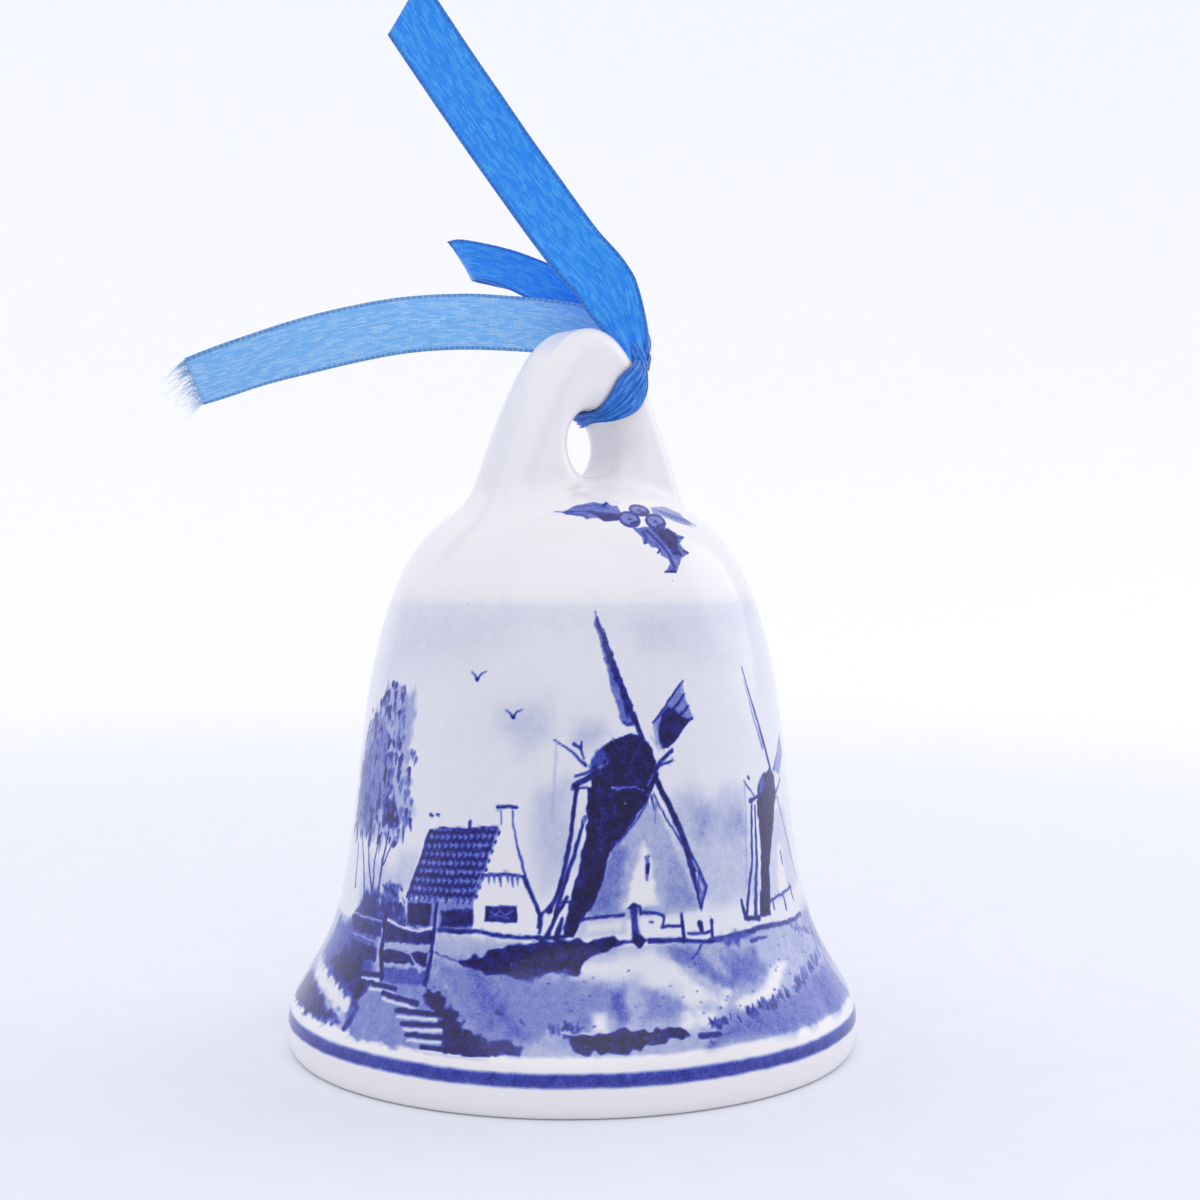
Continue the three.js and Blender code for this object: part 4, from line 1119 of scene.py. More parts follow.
@dataclass
class CobaltPainting:
    """All that is painted on the bell, as the strength of blue at any place."""

    marks: list[Mark] = field(default_factory=list)
    rim: RimLine = field(default_factory=RimLine)

    def __post_init__(self) -> None:
        """Collects the marks in the order in which they are laid."""
        for scene in (Sky(), BackScene(), Trees(), Cottage(), FarMill(), Windmill(), Meadow(), Footbridge(),
                      Birds(), HollySprig()):
            self.marks += scene.marks()

    def at(self, points: Array) -> tuple[Array, Array]:
        """The blue at places on the bell's outside.

        Args:
            points: Places in the frame, mm, one row each.

        Returns:
            The strength of blue from 0 to 1, and the distance to the nearest painted edge.
        """
        c, s = math.cos(VIEW_TURN), math.sin(VIEW_TURN)
        x = points[:, 0] * c - points[:, 1] * s
        y = points[:, 0] * s + points[:, 1] * c
        z = points[:, 2]
        a = PAINT_RADIUS * np.arctan2(x, -y)
        ink = np.zeros(len(points))
        near = np.full(len(points), 9.0)
        wander_a = a + 0.07 * value_noise(a, z, 0.55, 1) + 0.05 * value_noise(a, z, 1.7, 6)
        wander_z = z + 0.07 * value_noise(a, z, 0.55, 2) + 0.05 * value_noise(a, z, 1.7, 7)
        front = y < 0
        for mark in self.marks:
            x0, z0, x1, z1 = mark.reach()
            if mark.sheet is Sheet.WALL:
                u, v, fits = wander_a, wander_z, z < 47.5
            else:
                u, v, fits = x, z, front & (z > 47.5)
            chosen = np.nonzero(fits & (u > x0) & (u < x1) & (v > z0) & (v < z1))[0]
            if len(chosen) == 0:
                continue
            ink[chosen], edge = mark.lay(u[chosen], v[chosen], ink[chosen])
            near[chosen] = np.minimum(near[chosen], edge)
        low = z < 6
        ink[low], edge = self.rim.ink(a[low], z[low], ink[low])
        near[low] = np.minimum(near[low], edge)
        return np.clip(ink, 0, 1), near


# ---- Working on meshes -----------------------------------------------------------------
def deselect() -> None:
    """Leaves object mode and clears the selection."""
    if bpy.context.object and bpy.context.object.mode != "OBJECT":
        bpy.ops.object.mode_set(mode="OBJECT")
    bpy.ops.object.select_all(action="DESELECT")


def pick(obj: Object) -> None:
    """Makes one object the only selected and active one."""
    deselect()
    obj.select_set(True)
    bpy.context.view_layer.objects.active = obj


def coords(obj: Object) -> Array:
    """An object's vertices in millimetres, one row each."""
    found = np.empty(len(obj.data.vertices) * 3)
    obj.data.vertices.foreach_get("co", found)
    return found.reshape(-1, 3) / MM


def set_coords(obj: Object, points: Array) -> None:
    """Moves an object's vertices to places in millimetres."""
    obj.data.vertices.foreach_set("co", (points * MM).ravel())
    obj.data.update()


def mesh_object(name: str, points: Array, edges: list, faces: list) -> Object:
    """Makes a mesh object from places in millimetres.

    Args:
        name: The piece's name.
        points: Vertices, one row each.
        edges: Pairs of vertices, where there are loose edges.
        faces: Rows of vertices.

    Returns:
        The new object, in the scene.
    """
    mesh = bpy.data.meshes.new(name)
    mesh.from_pydata([tuple(p) for p in np.asarray(points, float) * MM], edges, faces)
    obj = bpy.data.objects.new(name, mesh)
    bpy.context.scene.collection.objects.link(obj)
    return obj


def apply_modifier(obj: Object, kind: str, **settings: object) -> None:
    """Adds one modifier with its settings and applies it."""
    pick(obj)
    made = obj.modifiers.new(kind.lower(), kind)
    for name, value in settings.items():
        setattr(made, name, value)
    bpy.ops.object.modifier_apply(modifier=made.name)


def select_faces(obj: Object, chosen: Array) -> None:
    """Opens a mesh in edit mode with only the chosen faces selected."""
    pick(obj)
    bpy.context.scene.tool_settings.mesh_select_mode = (False, False, True)
    obj.data.vertices.foreach_set("select", np.zeros(len(obj.data.vertices), bool))
    obj.data.edges.foreach_set("select", np.zeros(len(obj.data.edges), bool))
    obj.data.polygons.foreach_set("select", chosen)
    bpy.ops.object.mode_set(mode="EDIT")


def in_edit_mode(obj: Object, *steps: Callable[[], object]) -> None:
    """Opens a mesh for editing, runs each step on all of it, and closes it."""
    pick(obj)
    bpy.ops.object.mode_set(mode="EDIT")
    for step in steps:
        bpy.ops.mesh.select_all(action="SELECT")
        step()
    bpy.ops.object.mode_set(mode="OBJECT")


def turn_outwards() -> None:
    """Points all faces of the open mesh outwards."""
    bpy.ops.mesh.normals_make_consistent(inside=False)


def select_open_edges() -> None:
    """Selects only the open edges of the open mesh."""
    bpy.context.scene.tool_settings.mesh_select_mode = (False, True, False)
    bpy.ops.mesh.select_all(action="DESELECT")
    bpy.ops.mesh.select_non_manifold()


def spin_round(name: str, section: Array, steps: int, closed: bool, inside: bool | None = False,
               merge: float = 0.002) -> Object:
    """Spins a half section about the upright axis into a skin.

    Args:
        name: The piece's name.
        section: Radius and height of each point, mm.
        steps: Steps in the full turn.
        closed: Whether the last point joins the first.
        inside: Whether the faces point to the inside; None leaves them as they come.
        merge: Distance below which vertices are merged, mm.

    Returns:
        The new object.
    """
    n = len(section)
    edges = [(i, (i + 1) % n) for i in range(n if closed else n - 1)]
    made = mesh_object(name, np.array([(r, 0, z) for r, z in section]), edges, [])
    tidy = [lambda: bpy.ops.mesh.remove_doubles(threshold=merge * MM)]
    if inside is not None:
        tidy.append(lambda: bpy.ops.mesh.normals_make_consistent(inside=inside))
    in_edit_mode(made, lambda: bpy.ops.mesh.spin(steps=steps, angle=2 * math.pi, center=(0, 0, 0),
                                                 axis=(0, 0, 1)), *tidy)
    return made


def lay_uv(obj: Object, uv: Array) -> None:
    """Writes a UV map in millimetres from one row for each vertex."""
    corner = np.empty(len(obj.data.loops), int)
    obj.data.loops.foreach_get("vertex_index", corner)
    obj.data.uv_layers.new(name="UVMap").data.foreach_set("uv", uv[corner].ravel())


def make_smooth(obj: Object) -> None:
    """Shades all faces smoothly."""
    obj.data.polygons.foreach_set("use_smooth", np.ones(len(obj.data.polygons), bool))
    obj.data.update()


def dress(obj: Object, material: Material, body: Body, slot: Slot,
          *nodes: str) -> Object:
    """Gives a piece its material and body, and hides the frame's nodes that it stands for."""
    obj.data.materials.clear()
    obj.data.materials.append(material)
    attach(obj, body.value)
    if nodes:
        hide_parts(*nodes)
    LOG.info("%s: %d faces on body %s", obj.name, len(obj.data.polygons), body.value)
    return obj


# ---- The bell --------------------------------------------------------------------------
@dataclass
class BellProfile:
    """Half sections of the bell's wall, as radius and height, mm."""

    wall: float = 3.0
    rim: tuple = ((28.8, 0.0), (29.6, 0.0), (29.6, 2.7))
    flare: tuple = ((29.6, 2.7), (29.6, 6.2), (25.93, 8.5), (24.4, 14.8))
    side: tuple = ((24.4, 14.8), (22.53, 22.5), (22.42, 33.1), (20.6, 40.8))
    shoulder: tuple = ((20.6, 40.8), (18.05, 51.6), (14.1, 58.0), (0.0, 58.0))

    def outside(self, steps: int) -> Array:
        """The outside from the foot to the crown's middle.

        Args:
            steps: Steps in each of its four curves.

        Returns:
            Radius and height, one row each.
        """
        parts = [bezier(list(c), steps) for c in (self.rim, self.flare, self.side, self.shoulder)]
        return np.vstack([parts[0]] + [p[1:] for p in parts[1:]])

    def inside(self, steps: int) -> Array:
        """The inside from the mouth to the crown's middle, the wall's thickness further in.

        Args:
            steps: Steps in each of its three curves.

        Returns:
            Radius and height, one row each.
        """
        points = np.vstack([bezier(list(c), steps) for c in (self.flare, self.side, self.shoulder)])
        along = np.gradient(points, axis=0)
        along /= np.linalg.norm(along, axis=1)[:, None]
        moved = points + self.wall * np.stack([-along[:, 1], along[:, 0]], axis=1)
        moved = moved[moved[:, 0] > 0.4]
        keep = np.r_[True, np.linalg.norm(np.diff(moved, axis=0), axis=1) > 0.2]
        return np.vstack([moved[keep], [(0.0, self.shoulder[3][1] - self.wall)]])

    def radius_at(self, z: Array) -> Array:
        """The outside's radius at heights in millimetres."""
        fine = self.outside(160)
        return np.interp(z, fine[:, 1], fine[:, 0])


@dataclass
class LoopHandle:
    """The moulded loop: a thick strap with a round hole, flared where it meets the shoulder, mm."""

    centre: float = 0.8
    top: float = 74.5
    foot_half: float = 12.0
    foot: float = 57.4
    hole_height: float = 62.2
    hole: float = 3.7
    breadth: float = 8.4
    edge: float = 2.5
    blend: float = 1.9

    def outline(self, count: int) -> Array:
        """The loop's outside from one root over the top to the other.

        Args:
            count: Steps on each side.

        Returns:
            Sideways and upward places, one row each.
        """
        side = bezier([(0, self.top), (self.foot_half * 0.43, self.top),
                       (self.foot_half * 0.75, self.foot + 7.6), (self.foot_half, self.foot)], count)
        root = np.array([(self.foot_half + 1.0, self.foot - 2.6), (self.foot_half + 2.2, self.foot - 6.0),
                         (self.foot_half + 2.2, self.foot - 12.0)])
        right = np.vstack([side, root])
        left = right[1:][::-1] * [-1, 1]
        return np.vstack([left, right]) + [self.centre, 0]

    def distance(self, p: Array, outline: Array) -> Array:
        """Signed distance from points to the loop's rounded surface.

        Args:
            p: Places in millimetres, one row each.
            outline: The loop's outline.

        Returns:
            One distance for each place, below zero inside.
        """
        flat = polygon_distance(p[:, 0], p[:, 2], outline)
        hole = self.hole - np.hypot(p[:, 0] - self.centre, p[:, 2] - self.hole_height)
        across = np.maximum(flat, hole) + self.edge
        through = np.abs(p[:, 1]) - self.breadth / 2 + self.edge
        outer = np.hypot(np.maximum(across, 0), np.maximum(through, 0))
        return outer + np.minimum(np.maximum(across, through), 0) - self.edge


@dataclass
class BellBody:
    """The porcelain bell: turned wall, domed crown and loop handle as one glazed piece."""

    profile: BellProfile = field(default_factory=BellProfile)
    handle: LoopHandle = field(default_factory=LoopHandle)
    painting: CobaltPainting = field(default_factory=CobaltPainting)
    turns: int = 168             # steps round the wall
    seam: float = 46.0           # height at which the wall meets the crown
    gap: float = 0.7             # the height that is bridged there
    grain: float = 0.42          # width of the crown's faces, mm
    finish: GlazedPorcelain = field(default_factory=GlazedPorcelain)

    def build_wall(self) -> Object:
        """Spins the wall: the outside down from the seam, the foot, and the inside up to its top."""
        outside = self.profile.outside(20)
        outside = outside[outside[:, 1] < self.seam - 0.3][::-1]
        top = [(float(self.profile.radius_at(np.array([self.seam]))[0]), self.seam)]
        foot = [(27.7, 0.0), (26.9, 0.03), (26.62, 0.22), (26.6, 0.9), (26.6, 1.8)]
        section = np.vstack([top, outside, foot, self.profile.inside(9)])
        return spin_round("bell_body_glazed", section, self.turns, closed=False, inside=None)

    def surface(self, p: Array, crown: Array, outline: Array) -> Array:
        """Signed distance to the crown and the loop, blended where they meet.

        Args:
            p: Places in millimetres, one row each.
            crown: The crown's half section.
            outline: The loop's outline.

        Returns:
            One distance for each place, below zero inside.
        """
        r = np.hypot(p[:, 0], p[:, 1])
        dome = polygon_distance(r, p[:, 2], crown)
        loop = self.handle.distance(p, outline)
        blend = self.handle.blend
        share = np.maximum(blend - np.abs(dome - loop), 0) / blend
        return np.minimum(dome, loop) - share * share * blend / 4

    def slope(self, p: Array, crown: Array, outline: Array) -> tuple[Array, Array]:
        """The blended surface's distance and its outward direction at places in millimetres."""
        step = 0.02
        here = self.surface(p, crown, outline)
        rise = np.stack([self.surface(p + step * axis, crown, outline)
                         - self.surface(p - step * axis, crown, outline) for axis in np.eye(3)], axis=1)
        return here, rise / np.maximum(np.linalg.norm(rise, axis=1), 1e-9)[:, None]

    def sections(self) -> tuple[Array, Array]:
        """The crown's closed half section and the loop's outline."""
        shell = self.profile.outside(40)
        shell = shell[shell[:, 1] > 38]
        mirrored = shell[::-1] * [-1, 1]
        return np.vstack([shell, mirrored[1:]]), self.handle.outline(28)

    def build_crown(self) -> Object:
        """Makes the crown and loop rough, remeshes them as one skin and settles it on the blend."""
        deselect()
        radius = float(self.profile.radius_at(np.array([43.0]))[0])
        bpy.ops.mesh.primitive_uv_sphere_add(segments=64, ring_count=32, radius=1, location=(0, 0, 0))
        dome = bpy.context.object
        p = coords(dome) * MM
        set_coords(dome, np.stack([p[:, 0] * radius, p[:, 1] * radius, 43 + p[:, 2] * 14.6], axis=1))
        curve = bpy.data.curves.new("loop", "CURVE")
        curve.dimensions, curve.fill_mode = "2D", "BOTH"
        angles = np.linspace(0, 2 * math.pi, 41)[:-1]
        round_hole = np.stack([self.handle.centre + self.handle.hole * np.cos(angles),
                               self.handle.hole_height + self.handle.hole * np.sin(angles)], axis=1)
        for ring in (self.handle.outline(20), round_hole):
            spline = curve.splines.new("POLY")
            spline.points.add(len(ring) - 1)
            places = np.c_[ring * MM, np.zeros(len(ring)), np.ones(len(ring))]
            spline.points.foreach_set("co", places.ravel())
            spline.use_cyclic_u = True
        curve.extrude = (self.handle.breadth / 2 - 0.9) * MM
        curve.bevel_depth, curve.offset = 0.9 * MM, -0.9 * MM
        loop = bpy.data.objects.new("loop", curve)
        bpy.context.scene.collection.objects.link(loop)
        loop.rotation_euler = (math.pi / 2, 0, 0)
        pick(loop)
        bpy.ops.object.convert(target="MESH")
        bpy.ops.object.transform_apply(location=True, rotation=True, scale=True)
        dome.select_set(True)
        bpy.context.view_layer.objects.active = dome
        bpy.ops.object.join()
        crown = bpy.context.object
        apply_modifier(crown, "REMESH", mode="VOXEL", voxel_size=self.grain * MM)
        section, outline = self.sections()
        for turn in range(3):
            apply_modifier(crown, "SMOOTH", factor=0.5, iterations=4 if turn < 2 else 1)
            points = coords(crown)
            for _ in range(3):
                gap, way = self.slope(points, section, outline)
                points = points - np.clip(gap, -1, 1)[:, None] * way
            set_coords(crown, points)
        in_edit_mode(crown, lambda: bpy.ops.mesh.bisect(
            plane_co=(0, 0, (self.seam + self.gap) * MM), plane_no=(0, 0, 1), clear_inner=True))
        points = coords(crown)
        low = points[:, 2] < self.seam + self.gap + 0.001
        ring = self.profile.radius_at(points[low, 2])
        points[low, :2] *= (ring / np.hypot(points[low, 0], points[low, 1]))[:, None]
        set_coords(crown, points)
        return crown

    def join(self, wall: Object, crown: Object) -> None:
        """Bridges the crown's open edge to the wall's, and turns all faces outwards."""
        deselect()
        crown.select_set(True)
        wall.select_set(True)
        bpy.context.view_layer.objects.active = wall
        bpy.ops.object.join()
        in_edit_mode(wall, lambda: (select_open_edges(), bpy.ops.mesh.bridge_edge_loops()), turn_outwards)

    def settle(self, bell: Object) -> None:
        """Puts every vertex of the outside on the true surface after the faces are cut finer."""
        points = coords(bell)
        r = np.hypot(points[:, 0], points[:, 1])
        true = self.profile.radius_at(points[:, 2])
        wall = (points[:, 2] > 0.3) & (points[:, 2] < self.seam + self.gap - 0.001) & (r > true - 1.2)
        points[wall, :2] *= (true[wall] / r[wall])[:, None]
        crown = points[:, 2] > self.seam + self.gap
        crown &= ~((r < true - 1.8) & (points[:, 2] < 55.2))
        section, outline = self.sections()
        high = points[crown]
        for _ in range(2):
            gap, way = self.slope(high, section, outline)
            high = high - np.clip(gap, -0.3, 0.3)[:, None] * way
        points[crown] = high
        set_coords(bell, points)

    def refine(self, bell: Object) -> None:
        """Cuts the painted faces finer, in three passes that close in on the painted edges."""
        for level, (cell, reach) in enumerate(((0.92, 1.9), (0.46, 0.5), (0.23, 0.17))):
            mesh = bell.data
            centres = np.empty(len(mesh.polygons) * 3)
            mesh.polygons.foreach_get("center", centres)
            centres = centres.reshape(-1, 3) / MM
            corners = np.empty(len(mesh.polygons), int)
            mesh.polygons.foreach_get("loop_total", corners)
            r = np.hypot(centres[:, 0], centres[:, 1])
            outer = r > self.profile.radius_at(centres[:, 2]) - 1.2
            outer |= centres[:, 2] > 56
            ink, near = self.painting.at(centres)
            high = centres[:, 2] > self.seam + self.gap
            chosen = outer & (corners == 4) & (centres[:, 2] > 1.2) & (near < reach)
            if level == 0:
                chosen &= ~high          # the crown's own faces are already this fine
            select_faces(bell, chosen)
            bpy.ops.mesh.subdivide(number_cuts=1, quadcorner="STRAIGHT_CUT", ngon=True)
            bpy.ops.object.mode_set(mode="OBJECT")
            self.settle(bell)
            LOG.info("painting pass %d: %d faces of %.2f mm cut", level, int(chosen.sum()), cell)

    def paint(self, bell: Object) -> None:
        """Writes the strength of blue and the unglazed foot on the vertices."""
        points = coords(bell)
        r = np.hypot(points[:, 0], points[:, 1])
        ink, _ = self.painting.at(points)
        outer = (r > self.profile.radius_at(points[:, 2]) - 1.2) | (points[:, 2] > 56)
        ink[~outer | (points[:, 2] < 1.0)] = 0
        dry = ((points[:, 2] < 0.12) & (r > 26.7) & (r < 28.9)).astype(float)
        for name, values in (("pigment", ink), ("unglazed", dry)):
            layer = bell.data.attributes.new(name, "FLOAT", "POINT")
            layer.data.foreach_set("value", values.astype(np.float32))

    def smooth_normals(self, bell: Object) -> None:
        """Gives the outside the true surface's own directions, so that the gloss runs clean."""
        points = coords(bell)
        found = np.empty(len(points) * 3)
        bell.data.vertices.foreach_get("normal", found)
        found = found.reshape(-1, 3)
        fine = self.profile.outside(160)
        slope = np.gradient(fine[:, 0]) / np.maximum(np.gradient(fine[:, 1]), 1e-6)
        r = np.hypot(points[:, 0], points[:, 1])
        z = points[:, 2]
        wall = (z > 2.8) & (z < self.seam + self.gap - 0.001) & (r > self.profile.radius_at(z) - 0.05)
        lean = np.interp(z[wall], fine[:, 1], slope)
        true = np.stack([points[wall, 0] / r[wall], points[wall, 1] / r[wall], -lean], axis=1)
        found[wall] = true / np.linalg.norm(true, axis=1)[:, None]
        section, outline = self.sections()
        high = np.nonzero(z >= self.seam + self.gap - 0.001)[0]
        gap, way = self.slope(points[high], section, outline)
        close = (np.abs(gap) < 0.05) & (np.sum(way * found[high], axis=1) > 0.5)
        found[high[close]] = way[close]
        bell.data.normals_split_custom_set_from_vertices([tuple(n) for n in found])

    def build(self) -> Object:
        """Builds, paints and dresses the bell."""
        wall, crown = self.build_wall(), self.build_crown()
        self.join(wall, crown)
        self.refine(wall)
        self.paint(wall)
        make_smooth(wall)
        self.smooth_normals(wall)
        return dress(wall, self.finish.make(), Body.BELL, Slot.PORCELAIN, "bell_body")


# ---- The ribbon ------------------------------------------------------------------------
def settle_on(points: Array, distance: Callable[[Array], Array], height: Array,
              rounds: int = 4) -> Array:
    """Moves points to given heights over a surface.

    Args:
        points: Places in millimetres, one row each.
        distance: Gives the signed distance of places to the surface.
        height: The height that each point should have, mm.
        rounds: How many steps to take.

    Returns:
        The moved places.
    """
    for _ in range(rounds):
        here = distance(points)
        slope = np.stack([distance(points + 0.02 * axis) - distance(points - 0.02 * axis)
                          for axis in np.eye(3)], axis=1)
        slope /= np.maximum(np.linalg.norm(slope, axis=1), 1e-9)[:, None]
        points = points + np.clip(height - here, -0.8, 0.8)[:, None] * slope
    return points


KNOT = np.array([7.45, -1.9, 71.7])      # the knot's centre, mm
TIE_TURN = math.radians(-40)             # the tails' own frame is turned this far about Z


def smooth_route(route: list[tuple[float, float, float]], count: int) -> Array:
    """Even points on a smooth curve through a route.

    Args:
        route: The points that it passes through, mm.
        count: How many points to return.

    Returns:
        Places, one row each.
    """
    p = np.array(route, float)
    p = np.vstack([2 * p[0] - p[1], p, 2 * p[-1] - p[-2]])
    fine = []
    for a, b, c, d in zip(p[:-3], p[1:-2], p[2:-1], p[3:]):
        t0, t1 = 0.0, max(np.linalg.norm(b - a), 1e-6) ** 0.5
        t2 = t1 + max(np.linalg.norm(c - b), 1e-6) ** 0.5
        t3 = t2 + max(np.linalg.norm(d - c), 1e-6) ** 0.5
        t = np.linspace(t1, t2, 40)[:, None]
        ab = (t1 - t) / (t1 - t0) * a + (t - t0) / (t1 - t0) * b
        bc = (t2 - t) / (t2 - t1) * b + (t - t1) / (t2 - t1) * c
        cd = (t3 - t) / (t3 - t2) * c + (t - t2) / (t3 - t2) * d
        abc = (t2 - t) / (t2 - t0) * ab + (t - t0) / (t2 - t0) * bc
        bcd = (t3 - t) / (t3 - t1) * bc + (t - t1) / (t3 - t1) * cd
        fine.append(((t2 - t) / (t2 - t1) * abc + (t - t1) / (t2 - t1) * bcd)[:-1])
    fine = np.vstack(fine + [p[-2:-1]])
    done = np.r_[0, np.cumsum(np.linalg.norm(np.diff(fine, axis=0), axis=1))]
    at = np.linspace(0, done[-1], count)
    return np.stack([np.interp(at, done, fine[:, k]) for k in range(3)], axis=1)


@dataclass
class RibbonLength:
    """One free length of the ribbon from the knot: its route, which way it faces and its cut end."""

    name: str
    node: str
    route: list
    wide: list                   # directions across the ribbon, from its start to its end
    side: SatinSide
    far_end: str
    lay: str = "loose"
    slant: float = 0.0           # how much further one edge runs than the other at the cut, mm
    cup: float = 0.25            # how far the middle stands off the edges, mm
    wave: float = 0.12           # slow ripples along it, mm
    pinch: float = 0.0           # share of the width lost where it leaves the knot
    reach: float = 9.0           # how far from the knot the width is back to its full, mm
    returns: bool = False        # it is a loop, so its end is back at the knot
    squeeze: float = 0.0         # share of the width lost at a loop's fold
    skew: float = 0.0            # how far a loop's fold leans, mm
    width: float = 6.0
    thickness: float = 0.28
    rows: int = 110
    columns: int = 31

    def placed(self, points: Array) -> Array:
        """Places from the tails' own frame in the frame of the object, mm."""
        c, s = math.cos(TIE_TURN), math.sin(TIE_TURN)
        return points @ np.array([[c, s, 0], [-s, c, 0], [0, 0, 1]]) + KNOT

    def grid(self) -> tuple[Array, Array]:
        """The middle surface's vertices in the object's frame, and their width and length places, mm."""
        line = smooth_route(self.route, self.rows)
        steps = np.linalg.norm(np.diff(line, axis=0), axis=1)
        length = steps.sum()
        along = np.gradient(line, axis=0)
        along /= np.linalg.norm(along, axis=1)[:, None]
        share = np.linspace(0, 1, self.rows)
        stations = np.linspace(0, 1, len(self.wide))
        across = np.stack([np.interp(share, stations, [w[k] for w in self.wide]) for k in range(3)], axis=1)
        across -= np.sum(across * along, axis=1)[:, None] * along
        across /= np.linalg.norm(across, axis=1)[:, None]
        out = np.cross(along, across)
        u = np.linspace(-1, 1, self.columns)
        rows, uv = [], []
        for i, t in enumerate(share):
            gone = min(t, 1 - t) * length if self.returns else t * length
            half = self.width / 2 * (1 - self.pinch * max(0.0, 1 - gone / self.reach) ** 1.2)
            lift = self.cup * (1 - u ** 2) + self.wave * math.sin(t * length * 0.55) * u
            fold = self.pinch * 0.7 * max(0.0, 1 - gone / 8) * np.cos(u * math.pi * 2.5)
            shift = self.slant * (u / 2) * t
            turn = math.exp(-((t - 0.5) / 0.2) ** 2) if self.returns else 0.0
            half *= 1 - self.squeeze * turn
            rows.append(line[i] + np.outer(u * half, across[i]) + np.outer(lift + fold, out[i])
                        + np.outer(shift, along[i]) + np.outer(self.skew * u * turn, [-1, 0, 0]))
            uv += [((x + 1) * 3, t * length) for x in u]
        return self.placed(np.vstack(rows)), np.array(uv)

    def build(self, finish: Material) -> Object:
        """Builds the length of ribbon as a thin woven strip.

        Args:
            finish: The satin for the side that shows.

        Returns:
            The piece.
        """
        points, uv = self.grid()
        n = self.columns
        faces = [(i * n + j, i * n + j + 1, (i + 1) * n + j + 1, (i + 1) * n + j)
                 for i in range(self.rows - 1) for j in range(n - 1)]
        strip = mesh_object(self.name, points, [], faces)
        lay_uv(strip, uv)
        apply_modifier(strip, "SOLIDIFY", thickness=self.thickness * MM, offset=0.0)
        make_smooth(strip)
        dress(strip, finish, Body.BELL, Slot.RIBBON, self.node)
        return strip

    def declare(self, strip: Object, with_pieces: list) -> None:
        """Works out the strip's middle line in the object's frame; nothing is done with it."""
        line = self.placed(smooth_route(self.route, self.rows))


@dataclass
class FrayedEnd:
    """Loose threads at the side tail's cut end."""

    tail: RibbonLength
    threads: int = 210
    seed: int = 5

    def build(self, finish: Material) -> Object:
        """Builds each thread as a thin three-sided fibre that bends down a little.

        Args:
            finish: The satin that the threads share.

        Returns:
            The piece.
        """
        rng = np.random.default_rng(self.seed)
        points, _ = self.tail.grid()
        n = self.tail.columns
        last, before = points[-n:], points[-3 * n:-2 * n]
        verts, faces, uv = [], [], []
        for _ in range(self.threads):
            place = rng.uniform(0.3, n - 1.3)
            j, f = int(place), place % 1
            start = last[j] * (1 - f) + last[j + 1] * f
            ahead = start - (before[j] * (1 - f) + before[j + 1] * f)
            ahead /= np.linalg.norm(ahead)
            lean = rng.normal(0, 0.28, 3) + [0, 0, -0.1]
            length, thick = rng.uniform(0.5, 2.7) * rng.uniform(0.4, 1), rng.uniform(0.03, 0.06)
            base = len(verts)
            for k in range(5):
                t = k / 4
                at = start - ahead * 0.8 + ahead * (0.8 + length) * t + lean * length * t * t
                at = at + [0, 0, -0.35 * length * t ** 3]
                for corner in range(3):
                    angle = 2 * math.pi * corner / 3
                    radius = thick * (1 - 0.75 * t)
                    off_axis = np.array([0.2 * math.cos(angle), math.cos(angle), math.sin(angle)])
                    verts.append(at + radius * off_axis)
                    uv.append((place / n * 6, self.tail.rows * 0.4 + t))
            for k in range(4):
                for corner in range(3):
                    a, b = base + k * 3 + corner, base + k * 3 + (corner + 1) % 3
                    faces.append((a, b, b + 3, a + 3))
            faces += [(base + 2, base + 1, base), (base + 12, base + 13, base + 14)]
        fringe = mesh_object("ribbon_frayed_threads", np.array(verts), [], faces)
        lay_uv(fringe, np.array(uv))
        in_edit_mode(fringe, turn_outwards)
        make_smooth(fringe)
        return dress(fringe, finish, Body.BELL, Slot.RIBBON)


